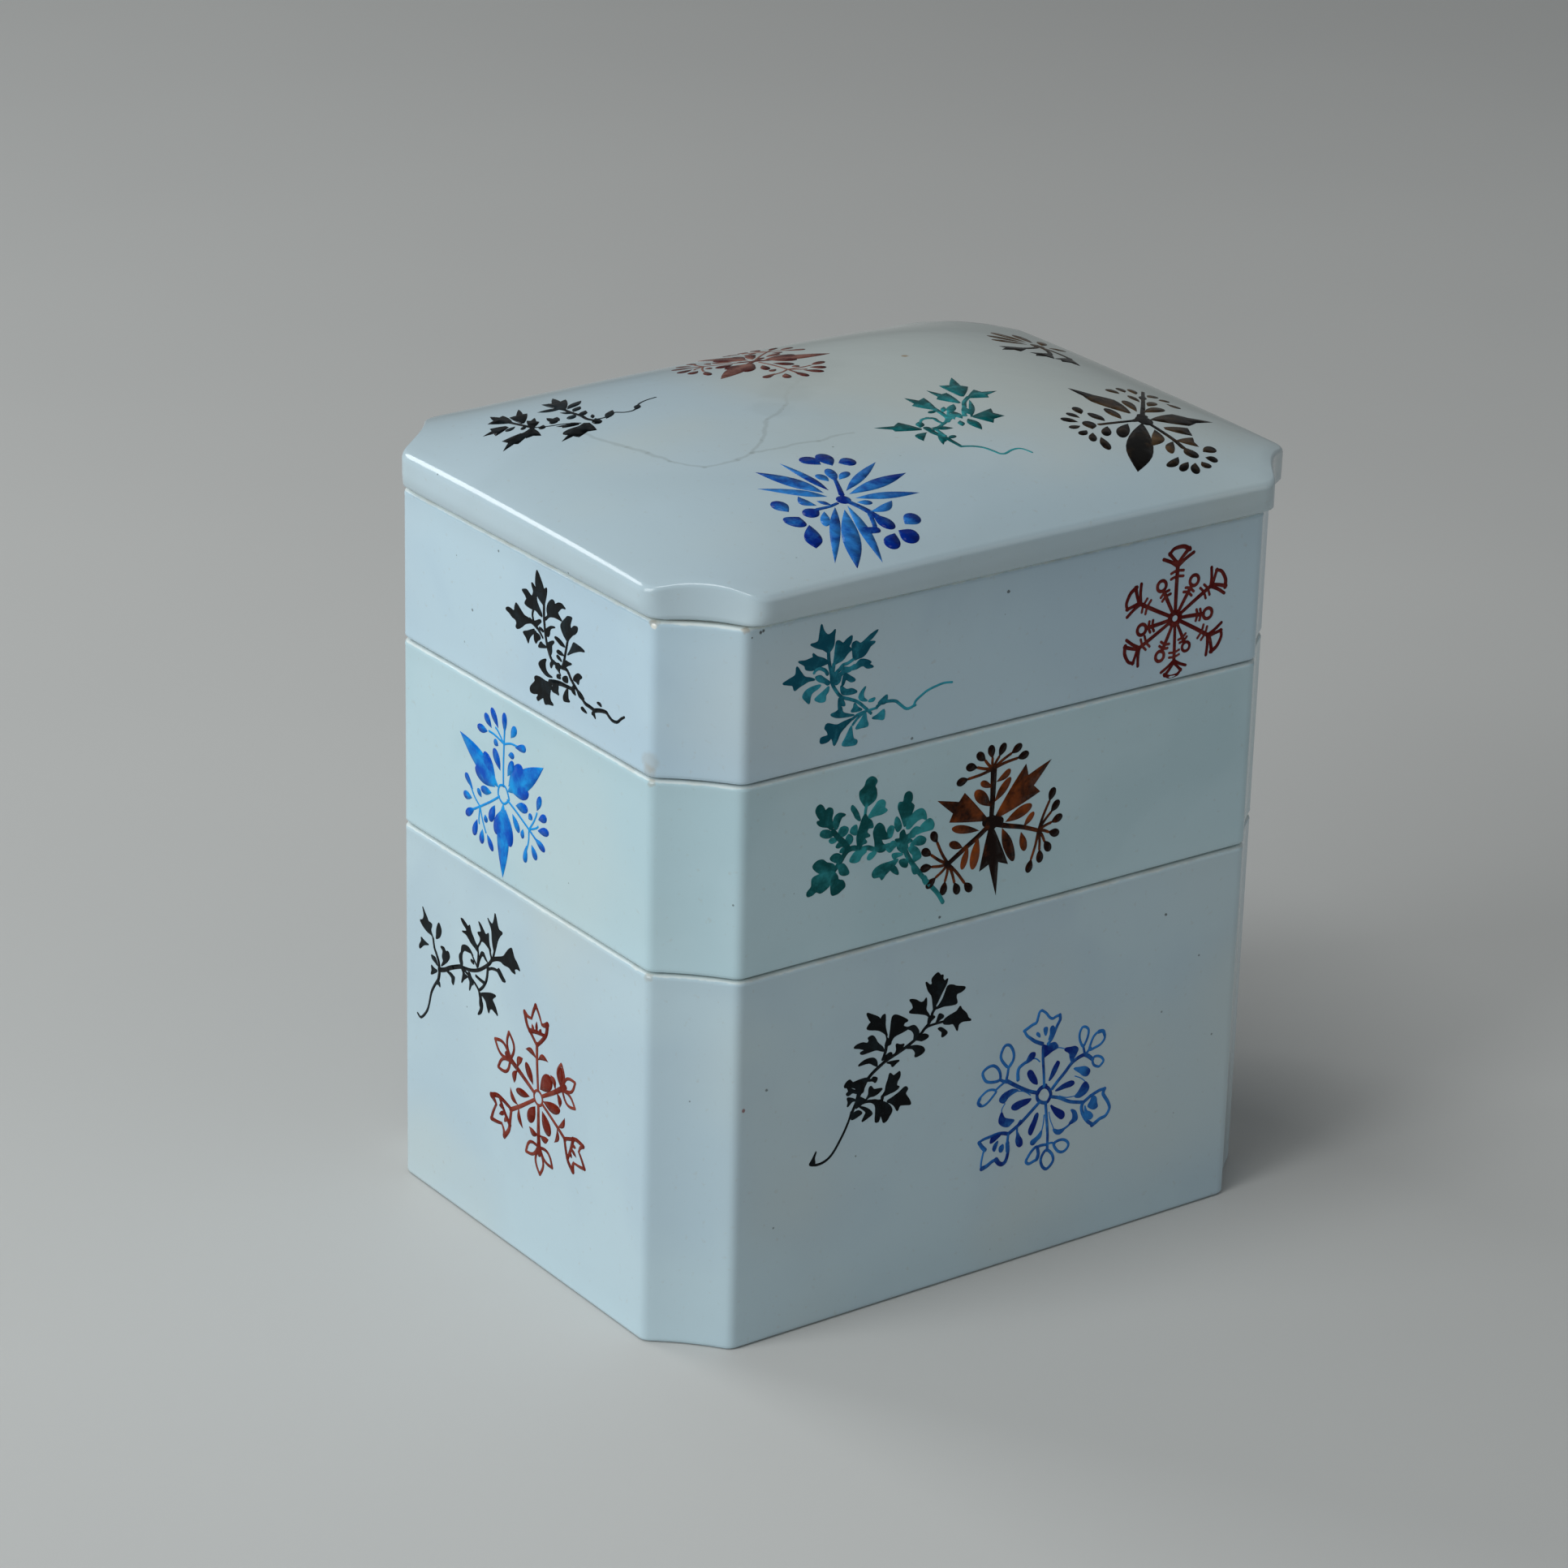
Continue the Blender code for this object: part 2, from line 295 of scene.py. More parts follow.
class Finish(Nodes):
    """A material in the making."""

    def __init__(self, name):
        self.material = bpy.data.materials.new(name)
        self.material.use_nodes = True
        super().__init__(self.material.node_tree)
        self.principled = self.tree.nodes["Principled BSDF"]

    def place(self):
        return self.node("ShaderNodeTexCoord", output="Object")

    def attribute(self, name):
        return self.node("ShaderNodeAttribute", {"attribute_name": name}, output="Fac")

    def mottle(self, place, size, detail, distortion=0.0):
        """Cloudy noise whose blotches are about the size across, in metres."""
        sockets = {"Vector": place, "Scale": 1 / size, "Detail": detail, "Distortion": distortion}
        return self.node("ShaderNodeTexNoise", None, sockets)

    def blend(self, share, first, second):
        """From the first colour to the second by the share."""
        sockets = {"Factor": share, "A": first, "B": second}
        return self.node("ShaderNodeMix", {"data_type": "RGBA"}, sockets)

    def near(self, place, centre, radius):
        """1 round a point, falling to 0 at about the radius along a ragged edge."""
        distance = self.vector("DISTANCE", place, Vector(centre)) * (1 / radius)
        ragged = self.mottle(place, radius * 0.8, 3.0) - 0.5
        return (distance + ragged * 0.9).ramp(1.0, 0.5)

    def specks(self, place, spacing, radius):
        """Sparse round dots, in drifts."""
        cells = self.node("ShaderNodeTexVoronoi", None, {"Vector": place, "Scale": 1 / spacing})
        dots = cells.ramp(1.1 * radius / spacing, 0.7 * radius / spacing)
        return dots * self.mottle(place, SPECK_DRIFT, 1.0).ramp(0.42, 0.5)

    def crack(self, place, start, end):
        """A hairline that wanders from start to end, as seen from above."""
        start, end = Vector((*start, 0)), Vector((*end, 0))
        ahead = (end - start).normalized()
        aside = Vector((-ahead.y, ahead.x, 0))
        drift = (self.mottle(place, CRACK_WANDER, 3.0) - 0.5) * CRACK_DRIFT
        across = self.vector("DOT_PRODUCT", place, aside) - start.dot(aside) + drift
        along = self.vector("DOT_PRODUCT", place, ahead) - start.dot(ahead)
        length = (end - start).length
        ends = along.ramp(-CRACK_SOFT, 0) * along.ramp(length + CRACK_SOFT, length)
        return abs(across).ramp(CRACK_SOFT, CRACK_CORE) * ends

    def bump(self, height, strength, distance):
        sockets = {"Height": height, "Strength": strength, "Distance": distance}
        return self.node("ShaderNodeBump", None, sockets)

    def set(self, **sockets):
        for name, value in sockets.items():
            self.fill(self.principled.inputs[name.replace("_", " ")], value)
        return self.material


def tone(*rgb):
    """A colour given as it looks on a screen, from 0 to 255, as light values."""
    return (*[((c / 255 + 0.055) / 1.055) ** 2.4 if c > 10 else c / 255 / 12.92 for c in rgb], 1.0)


# The bare body's colour is made as pale and bluish as the highlight along the rims, so it is partly the
# body's own white and partly a painted highlight.
BISQUE_AND_RIM_HIGHLIGHT = tone(219, 229, 228)
STAIN_BROWN = tone(158, 134, 96)
STAIN_GREY = tone(128, 136, 132)
SOOT = tone(40, 44, 44)
GLAZE_ROUGHNESS = 0.09
BARE_ROUGHNESS = 0.62
GLAZE_IOR = 1.55
GLAZE_SPECULAR = 0.5
POOL_SIZE = 38 * MM
POOL_STRENGTH = 0.7
WARMTH_SIZE = 60 * MM
WARMTH_STRENGTH = 0.7
FINE_STAIN_SIZE = 1.1 * MM
FINE_STAIN_STRENGTH = 0.14
SPECK_SPACING = 6.5 * MM
SPECK_RADIUS = 0.22 * MM
SPECK_DRIFT = 26 * MM
SPECK_STRENGTH = 0.6
CRACK_WANDER = 9 * MM
CRACK_DRIFT = 5 * MM
CRACK_SOFT = 0.6 * MM
CRACK_CORE = 0.1 * MM
CRACK_STRENGTH = 0.26
GRIME_SIZE = 9 * MM
BARE_GRIME_STRENGTH = 0.18
SEAM_GRIME_STRENGTH = 0.14
WEAR_SIZE = 2.2 * MM
WEAR_STRENGTH = 0.6
RIPPLE_SIZE = 7 * MM
DIMPLE_SIZE = 1.6 * MM
DIMPLE_STRENGTH = 0.12
GRAIN_SIZE = 0.25 * MM
GRAIN_STRENGTH = 0.3
SATIN_SIZE = 12 * MM
SATIN_STRENGTH = 0.06
GLAZE_RELIEF = 0.12 * MM
GLAZE_RELIEF_STRENGTH = 0.35


def porcelain(name, white, pooled, warm, marks=(), cracks=()):
    """Bluish white glaze over a porcelain body that shows at bare rims, marked by kiln and use, and on the
    lid also by a painted cast of light.

    A mark is (where, radius, colour, strength), in millimetres: a stain, a chip, a speck or a painted cast
    of light. A crack is (start, end)."""
    finish = Finish(name)
    place = finish.place()
    bare = finish.attribute("bare")
    pools = finish.mottle(place, POOL_SIZE, 3.0, 0.4).ramp(0.42, 0.62)
    warmth = finish.mottle(place, WARMTH_SIZE, 2.0).ramp(0.46, 0.7)
    colour = finish.blend(pools * POOL_STRENGTH, white, pooled)
    colour = finish.blend(warmth * WARMTH_STRENGTH, colour, warm)
    stains = finish.mottle(place, FINE_STAIN_SIZE, 2.0).ramp(0.64, 0.8)
    colour = finish.blend(stains * FINE_STAIN_STRENGTH, colour, STAIN_BROWN)
    specks = finish.specks(place, SPECK_SPACING, SPECK_RADIUS)
    colour = finish.blend(specks * SPECK_STRENGTH, colour, SOOT)
    for start, end in cracks:
        hairline = finish.crack(place, Vector(start) * MM, Vector(end) * MM)
        colour = finish.blend(hairline * CRACK_STRENGTH, colour, STAIN_GREY)
    grime = finish.mottle(place, GRIME_SIZE, 5.0, 0.8).ramp(0.45, 0.7)
    # The bare rims and foot take the bare-body colour, which is partly a painted highlight.
    body = finish.blend(grime * BARE_GRIME_STRENGTH, BISQUE_AND_RIM_HIGHLIGHT, STAIN_BROWN)
    worn = finish.mottle(place, WEAR_SIZE, 3.0) - 0.5
    edge = (bare + worn * WEAR_STRENGTH).ramp(0.25, 0.6)
    seams = bare.ramp(0.02, 0.4) * grime
    colour = finish.blend(seams * SEAM_GRIME_STRENGTH, colour, STAIN_BROWN)
    colour = finish.blend(edge, colour, body)
    # Marks are stains, chips and specks, and on the lid also a painted cast of light.
    for where, radius, mark_colour, strength in marks:
        share = finish.near(place, Vector(where) * MM, radius * MM)
        colour = finish.blend(share * strength, colour, mark_colour)
    ripples = finish.mottle(place, RIPPLE_SIZE, 1.0)
    ripples += finish.mottle(place, DIMPLE_SIZE, 1.0) * DIMPLE_STRENGTH
    grain = finish.mottle(place, GRAIN_SIZE, 2.0)
    height = ripples * (1 - edge) + grain * edge * GRAIN_STRENGTH
    satin = finish.mottle(place, SATIN_SIZE, 3.0) * SATIN_STRENGTH
    return finish.set(
        Base_Color=colour,
        Roughness=(GLAZE_ROUGHNESS + satin) * (1 - edge) + edge * BARE_ROUGHNESS,
        Normal=finish.bump(height, GLAZE_RELIEF_STRENGTH, GLAZE_RELIEF),
        IOR=GLAZE_IOR,
        Specular_IOR_Level=GLAZE_SPECULAR,
    )


def tier_profile(bottom, height, underside, floor_top):
    """(inset, height, bare, outside) of a tier's rings, from its underside over the rim and in."""
    rim = RIM_ROUND
    rows = [(*point, BARE, 0) for point in underside]
    base_round = [(rim, bottom)] + quarter_round((rim, bottom), (0, bottom + rim), True)
    rows += [(*point, GLAZED, 0) for point in base_round]
    rows += [(*point, GLAZED, 1) for point in run((0, bottom + rim), (0, bottom + height - rim))]
    top = bottom + height
    rows.append((0, top - rim, GLAZED, 0))
    rows += [(*point, (i + 1) / ROUND_STEPS, 0)
             for i, point in enumerate(quarter_round((0, top - rim), (rim, top), False))]
    rows += [(*point, BARE, 0) for point in run((rim, top), (WALL - rim, top))]
    rows += [(*point, SCUFFED - SCUFFED * i / ROUND_STEPS, 0)
             for i, point in enumerate(quarter_round((WALL - rim, top), (WALL, top - rim), True))]
    floor_level = bottom + floor_top
    cove = (WALL, floor_level + INSIDE_COVE)
    rows += [(*point, GLAZED, 0) for point in run((WALL, top - rim), cove)]
    rows.append((*cove, GLAZED, 0))
    rows += [(*point, GLAZED, 0)
             for point in quarter_round(cove, (WALL + INSIDE_COVE, floor_level), False)]
    return rows


def tier(name, body, bottom, top, underside, floor_top, glaze):
    """A tier's shell, standing in for its CAD node."""
    rows = tier_profile(bottom, top - bottom, underside, floor_top)
    rings = [ring_at(tier_plan(inset), height) for inset, height, bare, outside in rows]
    piece = shell(name + "_porcelain", rings, [row[2] for row in rows], [row[3] for row in rows])
    piece.data.materials.append(glaze)
    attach(piece, body)
    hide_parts(name)
    return piece


lower_marks = (
    ((-51, -47.5, 43.5), 0.45, tone(120, 40, 34), 0.8),
    ((36, -47.5, 57.5), 0.35, SOOT, 0.8),
    ((-46.5, -47.5, 46), 0.35, SOOT, 0.7),
    ((-63, -37, 66), 1.2, STAIN_BROWN, 0.3),
)
lower_glaze = porcelain("lower_tier_glaze", tone(190, 213, 222), tone(182, 205, 217),
                        tone(198, 212, 212), lower_marks)
foot = [(FOOT_WIDTH + FOOT_RECESS, FOOT_RECESS), (FOOT_WIDTH, 0), (FOOT_WIDTH - EDGE_SUPPORT, 0)]
lower_shell = tier("lower_tier", "lower", tier_low.z, tier_high.z, foot, FOOT_RECESS + FLOOR, lower_glaze)

# The middle and upper tiers: shallower boxes of the same plan. Each has a bare step round its
# base that drops into the mouth of the tier below, so that the stack can't slide apart.
STEP_DEPTH = 2.6 * MM
STEP_PLAY = 0.6 * MM
STEP_CHAMFER = 0.5 * MM
CHIP_WHITE = tone(240, 240, 232)
STEP_SIDE = WALL + STEP_PLAY


def nesting_tier(name, body, glaze):
    low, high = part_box(name)
    rest = low.z + STEP_DEPTH
    underside = [
        (STEP_SIDE + STEP_CHAMFER + EDGE_SUPPORT, low.z),
        (STEP_SIDE + STEP_CHAMFER, low.z),
        (STEP_SIDE, low.z + STEP_CHAMFER),
        (STEP_SIDE, rest - EDGE_SUPPORT),
        (STEP_SIDE, rest),
        (STEP_SIDE - EDGE_SUPPORT, rest),
    ]
    return tier(name, body, rest, high.z, underside, FLOOR - STEP_DEPTH, glaze)


middle_marks = (
    ((-12.5, -47.5, 68.5), 0.35, SOOT, 0.8),
    ((-63, -37, 99.8), 1.2, STAIN_BROWN, 0.35),
)
middle_glaze = porcelain("middle_tier_glaze", tone(189, 216, 224), tone(179, 208, 216),
                         tone(193, 214, 217), middle_marks)
upper_marks = (
    ((-63, -37, 126.8), 1.4, STAIN_BROWN, 0.5),
    ((-52.5, -47.5, 126.8), 1.2, STAIN_BROWN, 0.5),
    ((-63, -36.4, 103), 2.2, STAIN_BROWN, 0.22),
    ((-63, -36.4, 101.4), 1.6, STAIN_BROWN, 0.25),
    ((-62.9, -37.1, 125.9), 0.7, CHIP_WHITE, 0.9),
    ((-49.8, -47.5, 125.7), 0.42, SOOT, 0.9),
    ((-49.3, -47.5, 125.85), 0.34, SOOT, 0.85),
    ((-51.4, -47.5, 125.1), 0.2, SOOT, 0.8),
    ((-63, 7.5, 124.7), 0.3, SOOT, 0.7),
    ((-63, 15.4, 112), 0.35, SOOT, 0.7),
    ((-1, -47.5, 123), 0.4, SOOT, 0.8),
    ((-19.5, -47.5, 101.5), 0.35, SOOT, 0.7),
)
upper_glaze = porcelain("upper_tier_glaze", tone(188, 213, 225), tone(180, 205, 220),
                        tone(196, 212, 217), upper_marks)
middle_shell = nesting_tier("middle_tier", "middle", middle_glaze)
upper_shell = nesting_tier("upper_tier", "upper", upper_glaze)

# The lid: a thick cushion-topped cover, pressed in a mould and glazed all over but its seat.
# Its corners are upright hollow facets that cut an arch through the round shoulder. A bare
# flange under it drops into the upper tier, with so much play that it lies to one side.
lid_low, lid_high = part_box("lid")
LID_SHIFT = (lid_low.x + lid_high.x) / 2
LID_HALF_WIDTH = (lid_high.x - lid_low.x) / 2
LID_HALF_DEPTH = (lid_high.y - lid_low.y) / 2
LID_OVERHANG = LID_HALF_WIDTH - HALF_WIDTH
FLANGE_DEPTH = 2.8 * MM
LID_SEAT = lid_low.z + FLANGE_DEPTH
LID_CORNER_OVERHANG = 1.3 * MM
LID_SIDE = 5.0 * MM
LID_SHOULDER = 1.8 * MM
LID_CROWN = 7.15 * MM
LID_BELLY = 0.7 * MM
LID_SHELL = 4.5 * MM
LID_EDGE_ROUND = 2.5 * MM
SCOOP_HOLLOW = 1.5 * MM
SCOOP_EDGE_ROUND = 1.0 * MM
LEAN_TO_RIGHT = 0.2 * MM
LEAN_TO_BACK = 0.7 * MM
CORNER_DROP = 0.9 * MM
FLANGE_THICKNESS = 3.0 * MM
FLANGE_CHAMFER = 0.5 * MM
LID_PLAY = 2.0 * MM
CROWN_FULLNESS = 3.4
SHOULDER_END = math.radians(66)
SCOOP_FADE = 4
DROP_FADE = 2.5
CROWN_CUT = 0.45
WIDEST_LEVEL = 0.6
SIDE_LEVELS = 10
SHOULDER_LEVELS = 12
CROWN_STEPS = 34
VAULT_STEPS = 14
LID_SEAT_ROWS = ((2.5, BARE), (1.6, BARE), (0.8, 0.25))
LID_CORNER_CUT = CORNER_CUT + 2 * LID_OVERHANG - math.sqrt(2) * LID_CORNER_OVERHANG
SHOULDER_TOP = LID_SIDE + LID_SHOULDER * math.sin(SHOULDER_END)
SHOULDER_INSET = LID_SHOULDER * (1 - math.cos(SHOULDER_END))
SCOOP_TURN = SCOOP_EDGE_ROUND * math.sin(SHOULDER_END)
SCOOP_INSET = SCOOP_EDGE_ROUND * (1 - math.cos(SHOULDER_END))


def lid_plan(inset, cut, hollow=SCOOP_HOLLOW, edge_round=LID_EDGE_ROUND):
    """The outline of the lid, with its sides moved inwards by the inset from their widest."""
    return box_plan(LID_HALF_WIDTH - inset, LID_HALF_DEPTH - inset, cut, hollow, edge_round)


def scoop_cut(side_inset, scoop_inset):
    """The corner cut that leaves the scoops where they are, but for an inset of their own."""
    return LID_CORNER_CUT - 2 * side_inset + math.sqrt(2) * scoop_inset


def warp(x, y):
    """How much the fired top stands above a true one: it leans, and its corners drop."""
    across = x / LID_HALF_WIDTH
    along = y / LID_HALF_DEPTH
    lean = LEAN_TO_RIGHT * across + LEAN_TO_BACK * along
    return lean - CORNER_DROP * abs(across * along) ** DROP_FADE


def crown_height(x, y, base=SHOULDER_TOP):
    """How high the cushion top stands above the seat."""
    across = min(abs(x) / (LID_HALF_WIDTH - SHOULDER_INSET), 1)
    along = min(abs(y) / (LID_HALF_DEPTH - SHOULDER_INSET), 1)
    rise = LID_CROWN * (1 - across ** CROWN_FULLNESS) * (1 - along ** CROWN_FULLNESS)
    return base + rise + warp(x, y)


def crown_ring(plan, base):
    return [Vector((point.x, point.y, crown_height(point.x, point.y, base))) for point, share in plan]


def edge_profile(straight, radius, belly):
    """(inset, height) up an upright side that bellies out, and over the round above it."""
    points = []
    for step in range(1, SIDE_LEVELS + 1):
        level = step / SIDE_LEVELS
        points.append((belly * max(0, 1 - level / WIDEST_LEVEL) ** 2, level * straight))
    for step in range(1, SHOULDER_LEVELS + 1):
        angle = SHOULDER_END * step / SHOULDER_LEVELS
        points.append((radius * (1 - math.cos(angle)), straight + radius * math.sin(angle)))
    return points


def lid_side_rings():
    """Rings up the lid: sides that turn over a round shoulder, cut through by upright scoops."""
    side = edge_profile(LID_SIDE, LID_SHOULDER, LID_BELLY)
    scoops = []
    for point, share in lid_plan(SHOULDER_INSET, scoop_cut(SHOULDER_INSET, SCOOP_INSET)):
        scoop_side = crown_height(point.x, point.y) - SCOOP_TURN
        scoops.append(edge_profile(scoop_side, SCOOP_EDGE_ROUND, 0))
    rings = []
    for level, (side_inset, side_height) in enumerate(side):
        plan = lid_plan(side_inset, scoop_cut(side_inset, scoops[0][level][0]))
        ring = []
        for (point, share), scoop in zip(plan, scoops):
            height = side_height * (1 + warp(point.x, point.y) / SHOULDER_TOP)
            ring.append(Vector((point.x, point.y, mix(height, scoop[level][1], share))))
        rings.append(ring)
    return rings


def closing_rings(start_inset, start_cut, base, hollow, steps):
    """Rings from the start inset that close on a short ridge line along the middle."""
    rings = []
    for step in range(1, steps + 1):
        share = step / steps
        inset = mix(start_inset, LID_HALF_DEPTH, share)
        cut = mix(start_cut, CROWN_CUT * (LID_HALF_DEPTH - inset), share)
        edge_round = mix(LID_EDGE_ROUND, cut / 3, share)
        plan = lid_plan(inset, cut, hollow * (1 - share) ** SCOOP_FADE, edge_round)
        rings.append(crown_ring(plan, base))
    return rings


def lid_rings():
    """All rings of the lid from the middle of its vault round to the middle of its crown."""
    flange_outside = WALL + LID_PLAY
    flange_inside = flange_outside + FLANGE_THICKNESS
    ceiling = SHOULDER_TOP - LID_SHELL
    vault_start = flange_inside + RIM_ROUND + LID_OVERHANG
    vault_cut = LID_CORNER_CUT - CUT_LOSS * vault_start
    vault = closing_rings(vault_start, vault_cut, ceiling, 0, VAULT_STEPS)
    rows = [(ring, GLAZED, 0) for ring in vault[::-1]]
    rows.append((crown_ring(lid_plan(vault_start, vault_cut, 0), ceiling), GLAZED, 0))
    flange = [
        (flange_inside, ceiling - RIM_ROUND),
        (flange_inside, FLANGE_CHAMFER - FLANGE_DEPTH),
        (flange_inside - FLANGE_CHAMFER, -FLANGE_DEPTH),
        (flange_outside + FLANGE_CHAMFER, -FLANGE_DEPTH),
        (flange_outside, FLANGE_CHAMFER - FLANGE_DEPTH),
        (flange_outside, 0),
    ]
    rows += [(ring_at(tier_plan(inset), level), BARE, 0) for inset, level in flange]
    for edge_widths, bare in LID_SEAT_ROWS:
        seat_inset = edge_widths * RIM_ROUND
        seat_cut = scoop_cut(LID_BELLY + seat_inset, seat_inset)
        rows.append((ring_at(lid_plan(LID_BELLY + seat_inset, seat_cut), 0), bare, 0))
    rows += [(ring, GLAZED, 1) for ring in lid_side_rings()]
    crown_cut = scoop_cut(SHOULDER_INSET, SCOOP_INSET)
    crown = closing_rings(SHOULDER_INSET, crown_cut, SHOULDER_TOP, SCOOP_HOLLOW, CROWN_STEPS)
    rows += [(ring, GLAZED, 1) for ring in crown]
    shift = Vector((LID_SHIFT, 0, LID_SEAT))
    return [([point + shift for point in ring], bare, outside) for ring, bare, outside in rows]


lid_stains_and_painted_cast = (
    # The first mark is painted light: a broad warmer, greyer cast over the right and back of the lid, away
    # from the window light.
    ((48, 16, 140), 70, tone(193, 201, 197), 0.9),
    ((7, 21, 140.5), 9, STAIN_GREY, 0.09),
    ((2, 16, 141), 7, STAIN_GREY, 0.08),
    ((-4, 11, 141), 6, STAIN_GREY, 0.1),
    ((-11, 5, 141), 5, STAIN_GREY, 0.09),
    ((25.5, 17, 140.4), 0.8, STAIN_BROWN, 0.8),
)
crack_path = (
    (6, 18), (1, 14), (-8.4, 5.4), (-14.5, 0.9), (-21.5, -6.5), (-26, -10.5),
    (-29.5, -11.2), (-35.4, -10.9), (-38.5, -5), (-38.8, 0.5), (-39.5, 5), (-42.5, 17),
)
branch_path = ((-26, -10.5), (-13.6, -12), (-6.4, -11.5))
lid_cracks = list(zip(crack_path, crack_path[1:])) + list(zip(branch_path, branch_path[1:]))
lid_glaze = porcelain("lid_glaze", tone(186, 206, 215), tone(180, 200, 208),
                      tone(194, 206, 204), lid_stains_and_painted_cast, lid_cracks)
lid_shell = shell("lid_porcelain", *zip(*lid_rings()), capped=False)
lid_shell.data.materials.append(lid_glaze)
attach(lid_shell, "cover")
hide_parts("lid")

# The black sprigs: leafy twigs in black enamel, brushed by hand on the fired glaze and fired
# again at a lower heat, so that each stroke stands a hair's breadth proud of the glaze.
ENAMEL_RISE = 0.05 * MM
ENAMEL_EDGE = 0.02 * MM
ENAMEL_ROOT = 0.05 * MM
LAYER_GAP = 0.002 * MM
ENAMEL_GRID = 1.6
JOIN_DISTANCE = 1e-5
RAY_START = 0.2
SPREAD = 0.1
PATCH_SPREAD = 0.12
BOW_STEPS = 5
PETAL_STEPS = 16
STEPS_PER_MM = 10
DOT_SIDES = 16
FRONT = (Vector((1, 0, 0)), Vector((0, 0, 1)))
LEFT = (Vector((0, -1, 0)), Vector((0, 0, 1)))
TOP = (Vector((1, 0, 0)), Vector((0, 1, 0)))


class Stroke:
    """Flat shapes in millimetres, with how dark the brush left them from start to end."""

    def __init__(self, shapes, start, end, shade):
        self.shapes = [self.anticlockwise(shape) for shape in shapes]
        self.start = Vector(start)
        self.along = Vector(end) - self.start
        self.shade = shade

    def anticlockwise(self, shape):
        area = sum(a.cross(b) for a, b in zip(shape, shape[1:] + shape[:1]))
        return shape if area > 0 else shape[::-1]

    def shade_at(self, point):
        share = (point - self.start).dot(self.along) / max(self.along.length_squared, 1e-9)
        return mix(*self.shade, min(max(share, 0), 1))


def bowed(start, end, bow):
    """Points from the start up to the end on a shallow curve that bows to its left."""
    chord = end - start
    control = (start + end) / 2 + Vector((-chord.y, chord.x)) * bow
    return [curve_between(start, control, end, step / BOW_STEPS) for step in range(BOW_STEPS)]


def leaf(base, *tips, notch=0.72, bow=0.1, neck=0.25, shade=(0.85, 0.95)):
    """A leaf that widens from its base and ends in a pointed lobe at each tip."""
    base = Vector(base)
    tips = [Vector(tip) for tip in tips]
    middle = sum(tips, Vector((0, 0))) / len(tips)
    stalk = (middle - base).normalized()
    tips.sort(key=lambda tip: stalk.angle_signed(tip - base))
    side = Vector((-stalk.y, stalk.x)) * neck
    outline = bowed(base + side, tips[0], bow)
    for tip, next_tip in zip(tips, tips[1:]):
        dip = mix(base, (tip + next_tip) / 2, notch)
        outline += bowed(tip, dip, bow / 2) + bowed(dip, next_tip, bow / 2)
    outline += bowed(tips[-1], base - side, bow) + [base - side]
    return Stroke([outline], base, middle, shade)


def petal(start, end, width, fullest, round_end, bend):
    """The outline of a petal, pointed where it starts, and pointed or round where it ends."""
    start, end = Vector(start), Vector(end)
    chord = end - start
    side = Vector((-chord.y, chord.x)).normalized()
    left, right = [], []
    for step in range(PETAL_STEPS + 1):
        share = (1 - math.cos(math.pi * step / PETAL_STEPS)) / 2
        if share < fullest:
            half = math.sin(share / fullest * math.pi / 2)
        elif round_end:
            half = math.sqrt(1 - ((share - fullest) / (1 - fullest)) ** 2)
        else:
            half = math.cos((share - fullest) / (1 - fullest) * math.pi / 2)
        spine = mix(start, end, share) + side * bend * 4 * share * (1 - share)
        left.append(spine + side * half * (width + SPREAD) / 2)
        right.append(spine - side * half * (width + SPREAD) / 2)
    return right + left[-2:0:-1]


def drop(start, end, width, fullest=0.6, bend=0.0, shade=(0.7, 0.95)):
    """A stroke that starts in a point and ends round and full."""
    return Stroke([petal(start, end, width, fullest, True, bend)], start, end, shade)


def blade(start, end, width, fullest=0.5, bend=0.0, shade=(0.7, 0.95)):
    """A stroke that starts and ends in a point."""
    return Stroke([petal(start, end, width, fullest, False, bend)], start, end, shade)


def walk(steps):
    """Points from a start and the steps from there on: x and y in turn, in tenths of a mm."""
    ways = zip(itertools.accumulate(steps[::2]), itertools.accumulate(steps[1::2]))
    return [(x / STEPS_PER_MM, y / STEPS_PER_MM) for x, y in ways]


def patch(*steps, shade=(0.7, 0.9)):
    """A stroke filled to a smooth outline, walked round from the base of the leaf."""
    outline = walk(steps)
    tip = max(outline, key=lambda point: math.dist(point, outline[0]))
    edge = line(*outline, width=PATCH_SPREAD, closed=True).shapes
    return Stroke([smooth(outline, True, 3)] + edge, outline[0], tip, shade)


def dot(centre, radius, shade=(0.9, 0.9)):
    """A small full round."""
    angles = [i * 2 * math.pi / DOT_SIDES for i in range(DOT_SIDES)]
    spokes = [Vector((math.cos(angle), math.sin(angle))) for angle in angles]
    return Stroke([[Vector(centre) + spoke * radius for spoke in spokes]], centre, centre, shade)


def smooth(points, closed, steps=4):
    """A smooth path through the points."""
    points = [Vector(point) for point in points]
    count = len(points)
    path = []
    for i in range(count if closed else count - 1):
        near = [points[(i + k) % count] if closed else points[min(max(i + k, 0), count - 1)]
                for k in (-1, 0, 1, 2)]
        for step in range(steps):
            t = step / steps
            weights = (
                (2 - t) * t * t - t,
                (3 * t - 5) * t * t + 2,
                ((4 - 3 * t) * t + 1) * t,
                (t - 1) * t * t,
            )
            path.append(sum((p * w / 2 for p, w in zip(near, weights)), Vector((0, 0))))
    return path if closed else path + [points[-1]]


